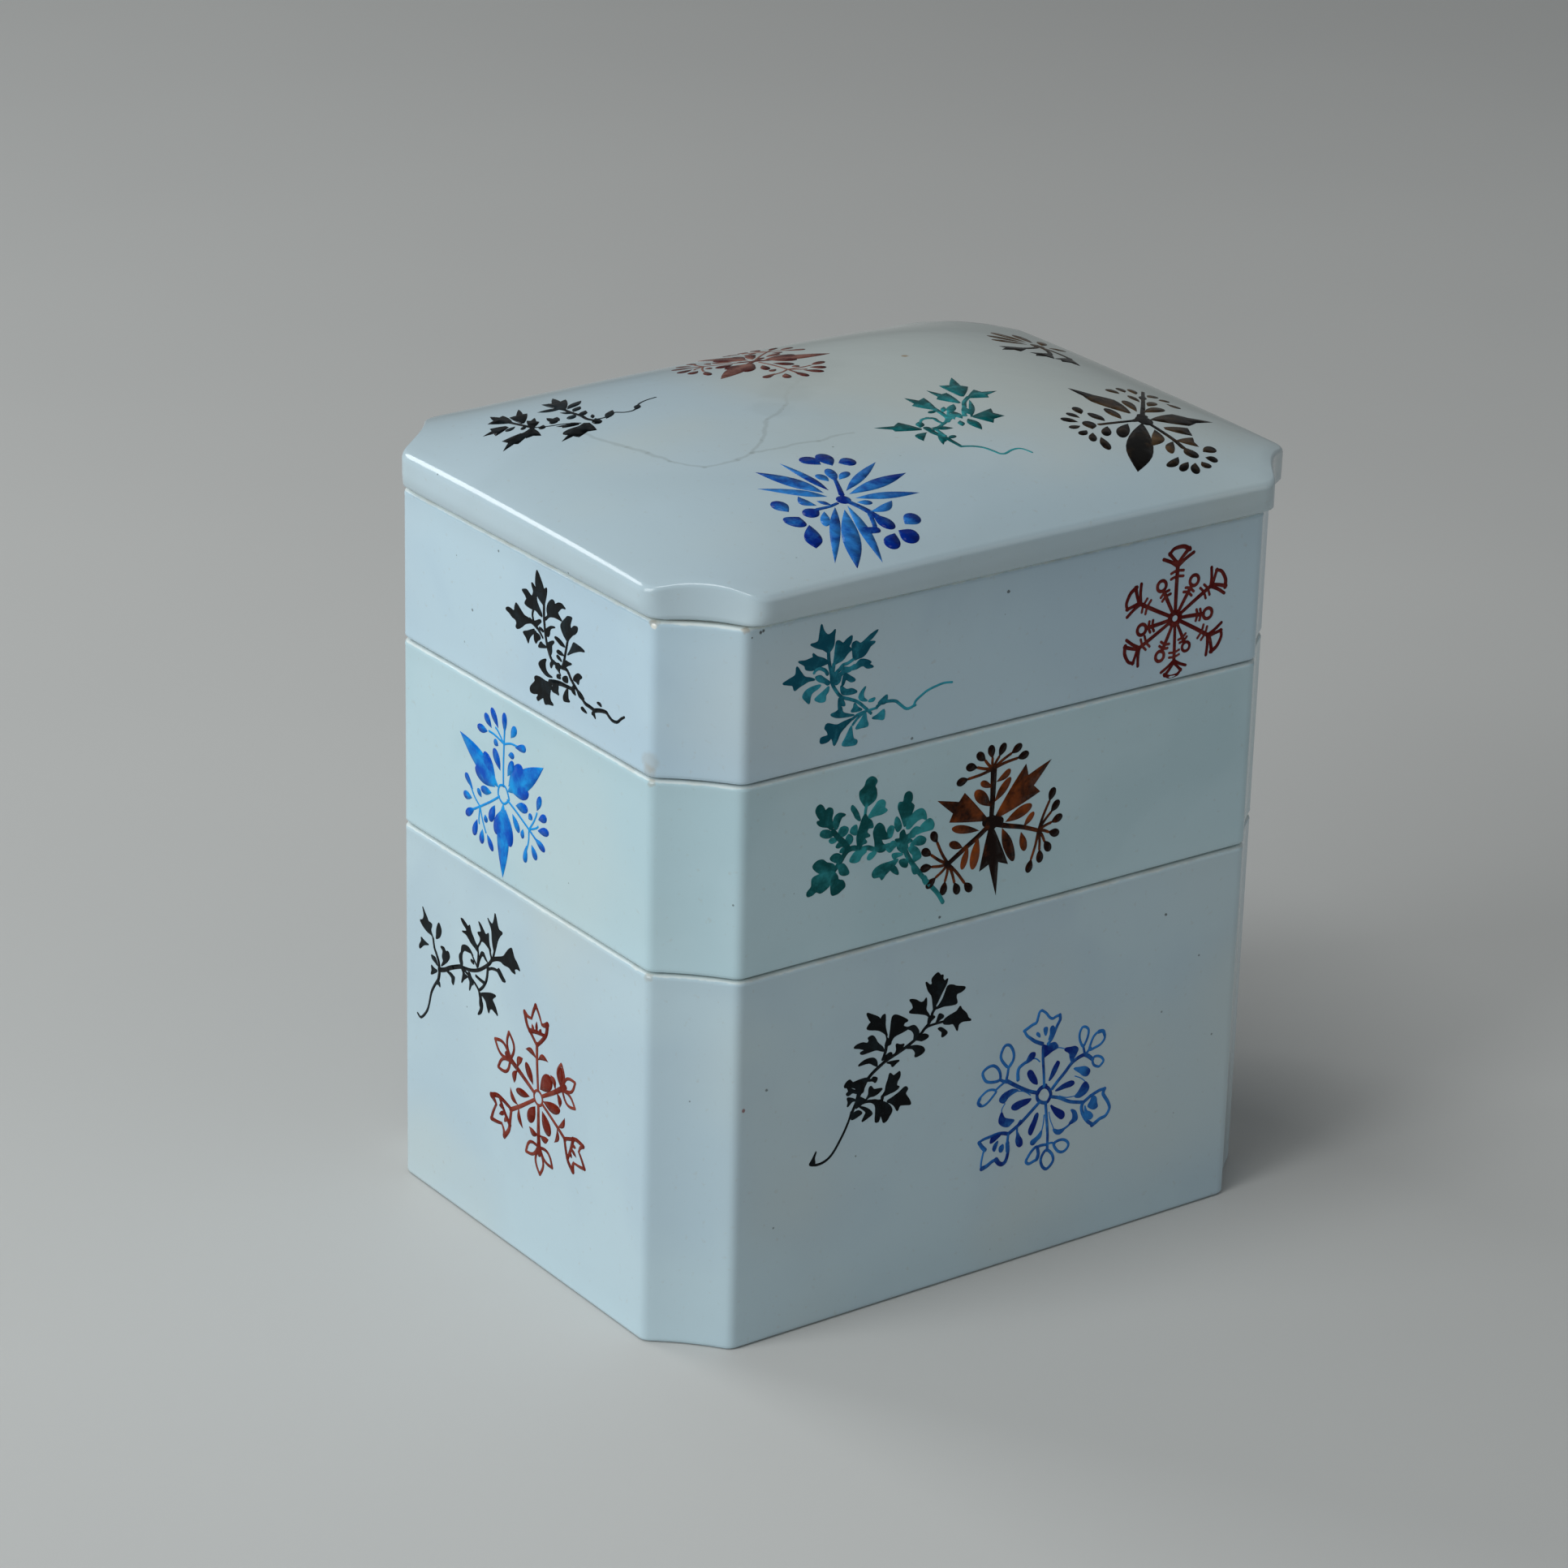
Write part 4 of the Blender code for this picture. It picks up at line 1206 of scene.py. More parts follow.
lid_black_sprig = [
    leaf((-47.6, 29.3), (-47.7, 35.8), (-50.2, 32.6), (-46.3, 34), notch=0.8),
    leaf((-46.7, 27.2), (-42.8, 34.6), (-43.4, 31), (-46.3, 32), notch=0.75, bow=0.08),
    leaf((-49, 28.4), (-53.7, 28.5), (-51.2, 30.3), (-52.4, 26.6), notch=0.75, bow=0.08, neck=0.5),
    drop((-48.2, 27.2), (-50.4, 26.6), 1.1, shade=(0.6, 0.4)),
    line((-47.8, 30.2), (-47.3, 27), (-46.8, 24.2), width=0.6),
    leaf((-49, 23), (-55, 20.3), (-53, 23.8), (-52, 20.4), notch=0.75, bow=0.04, neck=0.9),
    leaf((-47.1, 23.6), (-47.8, 19.9), (-50, 21.2), notch=0.85),
    line((-50, 22.8), (-48.4, 23.1), (-46.8, 24), width=1.6, end_width=0.7),
    leaf((-46.9, 24), (-45.6, 27.8), (-44, 27.8), (-44.6, 25.4), notch=0.82),
    drop((-47, 26), (-48.4, 24.8), 0.8),
    drop((-45, 23.6), (-46.3, 22.2), 1.1),
    leaf((-42.9, 23.1), (-42.9, 25.9), (-41.5, 24.8), notch=0.75, bow=0.2, neck=0.7),
    drop((-42.2, 24), (-43.9, 22.7), 1.3),
    line((-46.6, 23.8), (-44.6, 22.2), (-42.5, 21), (-40.6, 19.2), width=0.3, shade=(0.4, 0.4)),
    leaf((-38.8, 26.8), (-35.6, 35.3), (-39.1, 33.3), (-34.9, 32.3), shade=(0.6, 0.6)),
    blade((-38.5, 27.8), (-42.2, 29.8), 1.6, shade=(0.6, 0.4)),
    blade((-38.2, 26.8), (-33.9, 29.1), 1.6, shade=(0.7, 0.3)),
    blade((-38.4, 24.7), (-35.9, 26.4), 1.3, shade=(0.7, 0.4)),
    blade((-38.9, 24), (-40, 26.3), 0.8, shade=(0.4, 0.4)),
    drop((-38.8, 23.4), (-40.9, 22.2), 1.4, shade=(0.3, 0.5)),
    blade((-38.8, 21.8), (-36.6, 23.7), 1.3),
    line((-38.6, 28), (-38.8, 25), (-38.6, 22), (-38.8, 20), (-38.3, 18.4), width=0.6),
    leaf((-40.9, 19.1), (-44.2, 21.1), (-43.8, 19.7), (-41.5, 20.6), notch=0.85, neck=0.5),
    leaf((-39.8, 18.5), (-47, 15), (-44.1, 14.2), (-40.4, 14.5), notch=0.82, bow=0.06, neck=0.5),
    drop((-40.4, 18), (-45.2, 17), 2.0, 0.7),
    drop((-37.6, 19.2), (-38.8, 16.6), 1.6),
    blade((-38, 19.4), (-36.9, 21.2), 0.6),
    blade((-36.5, 17.6), (-33.4, 20.4), 1.4),
    line((-38, 18.6), (-36, 18.3), (-34, 19.2), (-32.6, 18), (-31, 17.8), (-29.6, 18.8), (-28.4, 20),
         (-26.5, 20.8), (-24.3, 21.1), width=0.35, end_width=0.25, shade=(0.5, 0)),
    blade((-30.4, 17.8), (-28.6, 19.9), 1.1, shade=(0.8, 0.4)),
]
paint("lid_black_sprig", "cover", lid_shell, TOP, black_enamel, [lid_black_sprig])

# The teal sprigs: the same leafy twigs in a green-blue enamel. It is more see-through than the
# black, so that strokes look darker where they pool and paler where they were brushed out.
teal_enamel = enamel("teal_enamel", tone(60, 166, 186), tone(0, 80, 100))
green_teal_enamel = enamel("green_teal_enamel", tone(54, 156, 162), tone(0, 76, 78))

upper_front_sprig = [
    patch(-367, 1197, -10, 7, -12, 5, -12, 8, 9, 1, 6, 3, 2, 12, 3, 14, 5, -12, 8, -8, 8, 2, 6, 4,
          -1, -11, -1, -14, -5, -8, shade=(0.85, 1)),
    patch(-355, 1175, 1, 14, 1, 12, 2, 11, 6, 0, 7, -5, 7, 5, 10, 4, -1, -10, -4, -7, 5, -6, -7, -5,
          -9, -9, -9, -3, shade=(0.75, 0.85)),
    patch(-316, 1175, -3, 13, -1, 14, 8, 3, 8, -5, 9, 4, 11, 7, 14, 5, -10, -11, -7, -5, 12, -3, -9, -6,
          -6, -8, -7, -6, -10, -2, shade=(0.8, 0.9)),
    patch(-324, 1159, 10, 5, 10, 8, 12, -2, 10, -6, -3, -3, 8, -6, -12, 0, -9, 6, -13, -3,
          shade=(0.7, 0.8)),
    patch(-365, 1180, -6, -2, -11, -2, -14, -3, -13, 4, -3, 7, -12, 9, 12, -1, 8, 1, 8, 2, 0, 6, 9, -7,
          13, -6, shade=(0.85, 1)),
    patch(-391, 1156, -12, 0, -9, -3, -9, -3, -9, -4, -4, 9, -9, 3, -10, 4, 12, 5, 12, 5, 2, 13, 8, -10,
          8, -10, 11, -4, shade=(0.9, 1.05)),
    patch(-380, 1145, -15, 0, -13, -4, -6, -9, 6, -8, 7, -6, 2, 10, 4, 7, 11, 5, shade=(0.5, 0.65)),
    patch(-364, 1139, -10, -6, -11, -6, -5, -5, 10, -6, 10, 0, 1, 9, 5, 6, shade=(0.3, 0.5)),
    patch(-362, 1146, -12, 10, -7, 5, -9, -1, 6, -8, 11, -5, 7, -5, shade=(0.6, 0.75)),
    trail(-393, 1168, 4, 4, 7, 1, 10, -5, 5, -7, width=0.43, end_width=0.58, shade=(0.4, 0.6)),
    trail(-366, 1198, 1, -13, 3, -14, 3, -14, 1, -12, 8, -15, 12, -14, 16, -7, 16, -8, 15, -13, 12, -12,
          width=0.58, end_width=0.43, shade=(0.8, 0.6)),
    trail(-358, 1147, 7, 11, 11, 6, 16, -3, 9, 3, width=0.68, end_width=0.58, shade=(0.7, 0.6)),
    trail(-355, 1175, -1, -11, -2, -13, width=0.58, shade=(0.6, 0.7)),
    trail(-318, 1175, -10, -4, -9, -1, -6, -5, width=0.48, shade=(0.6, 0.6)),
    patch(-354, 1144, 5, 10, 10, 5, 9, 2, 9, -4, -11, -2, -7, -3, -3, -9, -7, -4, shade=(0.75, 0.6)),
    patch(-338, 1134, 1, 10, 4, 11, 10, -6, 11, -9, -8, -2, -10, 6, -4, -7, shade=(0.85, 0.9)),
    patch(-338, 1122, -2, 13, 11, -8, 11, -1, 10, -7, -8, -2, -13, 1, shade=(0.8, 0.8)),
    patch(-287, 1099, -12, 3, -5, 7, 5, 9, 8, 6, -4, -11, 2, -8, shade=(0.5, 0.55)),
    patch(-284, 1097, 2, 3, 10, 1, -3, -5, shade=(0.4, 0.5)),
    patch(-265, 1090, 5, 5, 12, 6, -1, -12, -8, -2, shade=(0.6, 0.75)),
    patch(-342, 1093, -2, 9, 1, 13, 9, -6, 3, -9, -7, 1, -1, -5, shade=(0.6, 0.75)),
    patch(-318, 1087, 4, 6, 2, 7, 7, -8, 8, -6, -10, -1, shade=(0.65, 0.7)),
    patch(-312, 1080, -16, 0, -19, 3, -11, 7, 11, 3, 9, 6, 4, -10, 13, -6, shade=(0.6, 0.75)),
    patch(-314, 1075, -7, -6, -7, -5, -10, -9, -6, -12, -6, -7, -5, 13, -8, -4, -13, 0, 0, 9, 13, 2,
          -2, 8, -4, 5, 5, 7, 18, -6, 15, 3, shade=(0.8, 1.05)),
    patch(-317, 1062, 2, -9, 3, -13, 7, -5, -2, -6, -12, 0, -15, 4, 6, 11, 6, 11, shade=(0.4, 0.7)),
    patch(-290, 1079, 3, -12, 3, -11, -13, -1, -11, 1, 8, 11, shade=(0.4, 0.65)),
    patch(-253, 1077, 0, -16, -11, 2, -12, 4, 10, 4, shade=(0.4, 0.65)),
    trail(-315, 1074, 10, 5, 9, 2, 13, 1, 16, 1, width=0.43, end_width=0.33, shade=(0.6, 0.4)),
    trail(-314, 1064, 9, 9, 14, 8, width=0.38, shade=(0.5, 0.5)),
    trail(-267, 1085, 10, 5, 9, 0, 17, -3, 11, -9, 12, -9, 13, 2, 5, 8, 11, 7, 12, 6, 17, 4, 16, 2,
          16, -2, width=0.5, end_width=0.28, shade=(0.6, 0.2)),
    patch(-198, 1071, 9, 1, -3, -2, shade=(0.5, 0.5)),
]
paint("upper_front_teal_sprig", "upper", upper_shell, FRONT, teal_enamel, [upper_front_sprig])

middle_front_sprig = [
    patch(-352, 892, -6, 5, -10, 3, -8, 5, -3, 6, 6, 1, -5, 8, -4, 9, 2, 7, 6, 3, 6, -4, 5, -8, 6, 3,
          7, -3, 2, -7, -2, -10, 3, -17, shade=(0.8, 1)),
    patch(-283, 916, -7, 8, -5, 9, -1, 11, 6, 5, 4, 4, 3, 8, 6, 4, 6, 0, 6, -4, 3, -6, -4, -7, 3, -7,
          1, -11, -4, -7, -9, -5),
    trail(-282, 917, -1, -7, -1, -8, width=0.48, shade=(0.3, 0.4)),
    patch(-293, 894, -9, 6, -5, 9, -5, 9, 2, 6, 7, -7, 6, -10, shade=(0.7, 0.6)),
    patch(-280, 893, 8, 12, 8, 9, 6, 6, 9, 0, 5, -6, -1, -8, 5, -6, -10, -4, -12, 0, -9, -1,
          shade=(0.3, 0.5)),
    patch(-204, 864, -5, 12, -5, 13, -4, 11, 2, 8, 8, 0, 2, 9, 3, 5, 6, 1, 6, -5, 1, -9, -2, -6, 6, -7,
          -3, -10, -5, -10, -6, -8, shade=(0.6, 0.85)),
    patch(-200, 860, 2, 12, 9, 10, 10, 5, 10, 0, 7, -8, 2, -12, -8, 3, -8, -1, -9, -5, -8, -6,
          shade=(0.3, 0.35)),
    patch(-180, 845, 8, 11, 9, 7, 11, 3, 8, -10, -2, -9, -9, -1, -13, 0, shade=(0.3, 0.45)),
    patch(-343, 890, -4, 11, 3, 11, 9, 4, 12, -5, -7, -3, -4, -7, -4, -10, shade=(0.6, 0.75)),
    patch(-346, 882, -7, -4, -11, 2, -8, 6, 2, 6, 7, 1, 9, -3, shade=(0.6, 0.75)),
    patch(-336, 879, 3, 10, 8, 2, 8, -5, -2, -8, -9, -4, shade=(0.5, 0.6)),
    patch(-354, 873, 6, 3, 10, -5, -6, -4, -7, 1, shade=(0.4, 0.5)),
    patch(-340, 859, 5, 6, 10, -1, 10, -8, -5, -5, -7, 6, -8, -1, shade=(0.7, 0.7)),
    patch(-332, 848, 5, 6, 9, -3, -3, -6, shade=(0.6, 0.6)),
    patch(-312, 877, 2, 8, 9, 3, 2, -9, -2, -8, shade=(0.5, 0.5)),
    patch(-321, 867, 5, 8, 8, -6, 0, -8, -7, -4, shade=(0.6, 0.6)),
    patch(-295, 845, -4, 16, 1, 12, 5, 13, 4, 11, 6, 6, 5, -9, 7, -5, 4, -12, -9, 0, -3, -7, 6, -7,
          -10, -2, 4, -8, -8, -2, shade=(0.75, 0.9)),
    patch(-261, 837, -2, 14, -3, 15, 3, 10, 8, 5, 9, -7, 5, -12, 11, -10, -9, -2, -10, 1, 3, -8, 8, -7,
          -5, -6, -10, 0, shade=(0.8, 0.95)),
    patch(-235, 855, -3, 10, 6, 6, 7, -4, -2, -10, -3, -6, shade=(0.35, 0.4)),
    patch(-218, 858, -6, 14, 3, 12, 7, -7, 4, -13, shade=(0.5, 0.6)),
    patch(-228, 843, -5, -4, -7, -5, 8, -9, 9, 6, 6, 4, -3, 6, shade=(0.4, 0.4)),
    patch(-207, 819, -10, 10, 2, 8, -7, 8, 9, 0, 1, 9, 7, 4, 5, -10, 8, 1, -1, -8, 6, -6, -9, -3, 0, -7,
          -5, -6, shade=(0.7, 0.85)),
    patch(-195, 843, 4, 9, 10, 6, 10, -5, -7, -5, -6, -7, shade=(0.5, 0.55)),
    patch(-191, 828, 8, 8, 11, 4, 12, -7, -2, -8, -10, -1, -10, 3, shade=(0.45, 0.6)),
    patch(-194, 824, 10, 1, 10, -8, 6, -14, -9, -5, -7, 0, -1, 11, -6, 7, shade=(0.35, 0.55)),
    trail(-347, 887, 6, -7, 8, -9, 10, -10, 8, -12, width=0.83, end_width=0.98, shade=(0.8, 0.9)),
    trail(-316, 848, 11, 1, 13, -5, 16, -1, 17, -7, 23, 2, 19, -3, 14, -9, width=0.93, end_width=0.58,
          shade=(0.85, 0.4)),
    trail(-315, 849, -8, -7, -7, -10, -8, -9, -6, -6, width=0.93, end_width=0.78, shade=(0.85, 0.9)),
    patch(-327, 834, -7, -4, -10, 4, -7, 7, 8, 6, 11, -3, shade=(0.7, 0.8)),
    patch(-341, 822, -8, -3, -8, -2, -12, 2, -10, 7, -6, 9, 8, 7, 11, 0, 9, -7, 12, -5,
          shade=(0.75, 0.95)),
    patch(-347, 818, -1, -10, -2, -12, -6, -6, -12, -5, -9, 4, -8, -4, -9, 0, -1, 7, 8, 8, 1, 13, 8, 4,
          16, 2, shade=(0.6, 0.95)),
    patch(-345, 817, 9, -9, 3, -8, 9, -4, 4, -10, -7, -6, -8, -4, -10, 0, -3, 9, 0, 13,
          shade=(0.7, 0.95)),
    patch(-334, 825, 9, 1, 8, -9, 4, -10, -8, -2, -9, 4, -3, 7, shade=(0.55, 0.7)),
    patch(-279, 838, -9, -7, -5, -7, -10, -1, -9, 5, 6, 10, 9, 4, shade=(0.3, 0.45)),
    patch(-259, 831, -6, -7, -7, -3, -5, 3, 3, 7, 8, 2, shade=(0.3, 0.4)),
    patch(-215, 809, -14, -1, -19, -1, -13, -5, -5, -8, 4, -7, 11, -1, 5, -6, 8, 8, 10, 7, 9, 7,
          shade=(0.4, 0.75)),
    patch(-229, 803, 11, -8, 5, -13, -10, 5, -7, 8, shade=(0.6, 0.7)),
    patch(-212, 805, 11, 1, 6, -8, -2, -7, -10, 4, shade=(0.8, 0.9)),
    patch(-227, 820, 11, 0, 11, -5, -11, -2, -7, -2, shade=(0.4, 0.4)),
    patch(-186, 795, 8, -9, 6, -9, -9, -2, -5, 10, shade=(0.5, 0.6)),
    patch(-164, 762, 5, 5, 5, -7, -4, -9, shade=(0.5, 0.5)),
    trail(-203, 829, 4, -12, 7, -13, 10, -14, 17, -22, 18, -21, 16, -18, 11, -18, width=0.88,
          end_width=0.68, shade=(0.7, 0.45)),
]
paint("middle_front_teal_sprig", "middle", middle_shell, FRONT, green_teal_enamel, [middle_front_sprig])

lid_teal_sprig = [
    leaf((11.3, -9.5), (10.2, -2), (13.2, -3.5), (8.9, -5.9), notch=0.78, bow=0.06, shade=(0.6, 0.9)),
    leaf((16.9, -8.6), (15.9, -0.6), (18.2, -3.2), (14.6, -5.2), notch=0.78, bow=0.06, shade=(0.5, 0.85)),
    leaf((19.4, -6), (24, 3.1), (19.3, 0.4), (23.5, -2.2), notch=0.76, bow=0.06, shade=(0.8, 0.7)),
    leaf((19.9, -7), (26.6, -6.1), (23.4, -3.9), (23.2, -8.4), notch=0.78, bow=0.04, shade=(0.8, 0.7)),
    leaf((14.6, -15), (20, -13.1), (19.9, -17), (16.1, -18.9), notch=0.82, bow=0.02, shade=(0.9, 0.9)),
    blade((13.4, -15.4), (12.5, -20.5), 1.9, 0.4),
    leaf((3.5, -15.9), (-3.1, -11.6), (2, -11.4), (-1, -14.6), notch=0.78, bow=0.05, neck=0.3),
    blade((3.7, -15.2), (5.5, -12.7), 1.4),
    line((5.2, -13.2), (6.3, -12.2), (7.6, -12), width=0.3, end_width=0.7, shade=(0.3, 0.6)),
    line((7.6, -12.1), (8.4, -12.7), (8.2, -14), (8.3, -15.3), width=0.8, end_width=0.5,
         shade=(0.7, 0.5)),
    blade((3.5, -17.4), (0.7, -20.3), 1.6, 0.5, -0.9),
    blade((5.2, -16.1), (8.6, -17.8), 1.5),
    leaf((4.3, -19.6), (2.7, -22.9), (4.3, -21.8), notch=0.9),
    drop((5, -21.2), (6.9, -20.6), 1.0),
    blade((11.7, -15.5), (10.5, -17.8), 1.1, shade=(0.6, 0.7)),
    drop((11.3, -9.6), (9.2, -10.2), 1.0),
    line((11.4, -8.6), (11.1, -11), (10.6, -13.6), (9.5, -14.9), width=0.9, shade=(0.7, 0.5)),
    blade((12, -12), (15.7, -8.5), 1.5, shade=(0.4, 0.7)),
    blade((11.6, -11), (13.4, -8.8), 0.9, shade=(0.3, 0.6)),
    blade((12.6, -15), (13.2, -11), 1.5, shade=(0.5, 0.8)),
    blade((11.2, -14.8), (12.2, -11.2), 1.0, shade=(0.3, 0.5)),
    blade((15, -14), (16.2, -10.4), 1.6, shade=(0.6, 0.8)),
    line((20.3, -6.6), (18, -8.4), (16.4, -10.5), (15, -12.2), (13.8, -14), width=0.7, shade=(0.7, 0.5)),
    blade((19.4, -7.9), (14.2, -15.2), 0.9, 0.5, 0.3, shade=(0.5, 0.8)),
    line((14, -14), (12, -13.6), (9.5, -14.8), (7, -16.2), (5.2, -17), width=0.6, shade=(0.5, 0.6)),
    line((4.6, -15.8), (4.4, -18), (4.8, -20.4), (4.9, -22.4), (5, -24.7), width=1.2, end_width=0.6,
         shade=(0.9, 0.8)),
    line((5.6, -17), (5.2, -20), width=0.6, shade=(0.5, 0.5)),
    line((5, -24.7), (6.8, -25.4), (8.2, -26.6), (9, -28.4), (9.4, -29.4), (10.3, -29.7), (12, -29.1),
         (13.4, -29), (14.2, -29.6), (14.8, -31), width=0.5, end_width=0.3, shade=(0.6, 0.15)),
]
paint("lid_teal_sprig", "cover", lid_shell, TOP, green_teal_enamel, [lid_teal_sprig])

# The cobalt roundels: snowflake-like rounds of leaves, buds and petals in blue enamel. Two
# were brushed whole. In the others a few arms are brushed again and again around a hub.
cobalt_enamel = enamel("cobalt_enamel", tone(48, 128, 202), tone(0, 36, 126))
bright_cobalt_enamel = enamel("bright_cobalt_enamel", tone(24, 156, 230), tone(0, 78, 188))


def around(kind, centre, *turns, reach=1.0):
    """The same arm brushed at each turn around a centre."""
    return [(kind, *centre, turn, reach) for turn in turns]


def circle(centre, radius, width, shade=(0.85, 0.85), every=2):
    """A brushed circle through every second corner of a dot, or fewer."""
    return line(*dot(centre, radius).shapes[0][::every], width=width, closed=True, shade=shade)


lid_blue_roundel = [
    dot((-24.4, -32.5), 1.25),
    blade((-26, -29.3), (-31.1, -17.5), 2.9, 0.42, shade=(0.3, 0.75)),
    blade((-24.8, -29), (-25.8, -16.8), 1.4, 0.35, shade=(0.9, 0.2)),
    blade((-26.2, -30.6), (-34.4, -22.9), 1.9, 0.35, shade=(0.2, 0.35)),
    blade((-22.5, -31.4), (-9.5, -29.1), 2.6, shade=(0.2, 0.9)),
    blade((-22.3, -30.3), (-11.7, -23.8), 1.7, 0.45, shade=(0.5, 0.4)),
    blade((-22.3, -32.8), (-11.3, -35.2), 1.9, 0.45, shade=(0.2, 0.55)),
    blade((-26, -35), (-32.8, -48), 2.9, 0.55, shade=(0.2, 0.75)),
    blade((-27, -33.8), (-35.7, -46), 1.7, 0.4, shade=(0.6, 0.4)),
    blade((-24.9, -34.3), (-27.9, -48), 1.8, shade=(0.1, 0.6)),
    line((-23.7, -31), (-22.6, -28.6), (-21.4, -25.8), width=0.9, end_width=0.5, shade=(0.8, 0.5)),
    drop((-22.9, -26.4), (-23.2, -23.4), 1.7, shade=(0.2, 0.4)),
    drop((-21.9, -27), (-20.3, -22.4), 1.8, shade=(0.8, 0.4)),
    drop((-21, -26.6), (-18, -24.9), 1.5, shade=(0.3, 0.6)),
    drop((-20.3, -20.6), (-21.5, -16.6), 2.9, shade=(0.7, 0.85)),
    drop((-18.9, -21.8), (-17.9, -16.8), 2.8, shade=(0.7, 0.85)),
    drop((-17.4, -21.4), (-14.4, -21.9), 3.1, 0.55, shade=(0.6, 0.85)),
    line((-23.9, -33.6), (-22.9, -36), (-22.2, -38.6), width=0.9, end_width=1.2, shade=(0.8, 0.9)),
    drop((-22.4, -37.8), (-21.4, -42.1), 2.5, shade=(0.8, 1)),
    drop((-22.8, -34), (-20.5, -35), 1.3, shade=(0.2, 0.5)),
    blade((-22.4, -37), (-17.1, -35.6), 1.6, 0.55, -0.7, shade=(0.3, 0.5)),
    line((-22.9, -37.6), (-23.8, -40), (-24.4, -41.2), width=0.7, shade=(0.6, 0.7)),
    line((-26.2, -41), (-24.4, -41.4), width=1.6, end_width=1.4, shade=(0.7, 0.9)),
    drop((-18.9, -41.6), (-15.5, -40.3), 2.7, shade=(0.5, 0.85)),
    drop((-20.9, -42.6), (-19.1, -45.6), 3.5, 0.55, shade=(0.95, 1)),
    drop((-21.9, -43), (-24.8, -45.8), 2.6, shade=(0.9, 1)),
    line((-26, -33), (-27.8, -33.3), (-30, -33.2), width=0.5, end_width=0.7, shade=(0.7, 0.6)),
    blade((-27.2, -33), (-28.6, -31), 0.9, shade=(0.7, 0.5)),
    drop((-29.8, -33.2), (-33, -34), 2.7, 0.55),
    blade((-29.4, -32.2), (-30.4, -28.4), 1.7, 0.5, 0.8, shade=(0.5, 0.6)),
    drop((-29.4, -34.2), (-31.6, -37.8), 1.5, shade=(0.2, 0.35)),
    drop((-34.6, -31.8), (-34.9, -27.8), 2.6, 0.55, shade=(0.5, 0.95)),
    drop((-34, -33.8), (-36.6, -35.4), 3.9, 0.55, shade=(0.7, 0.9)),
    blade((-33.9, -36.4), (-36.5, -42), 2.8, 0.62, shade=(0.8, 1)),
]
paint("lid_blue_roundel", "cover", lid_shell, TOP, cobalt_enamel, [lid_blue_roundel])

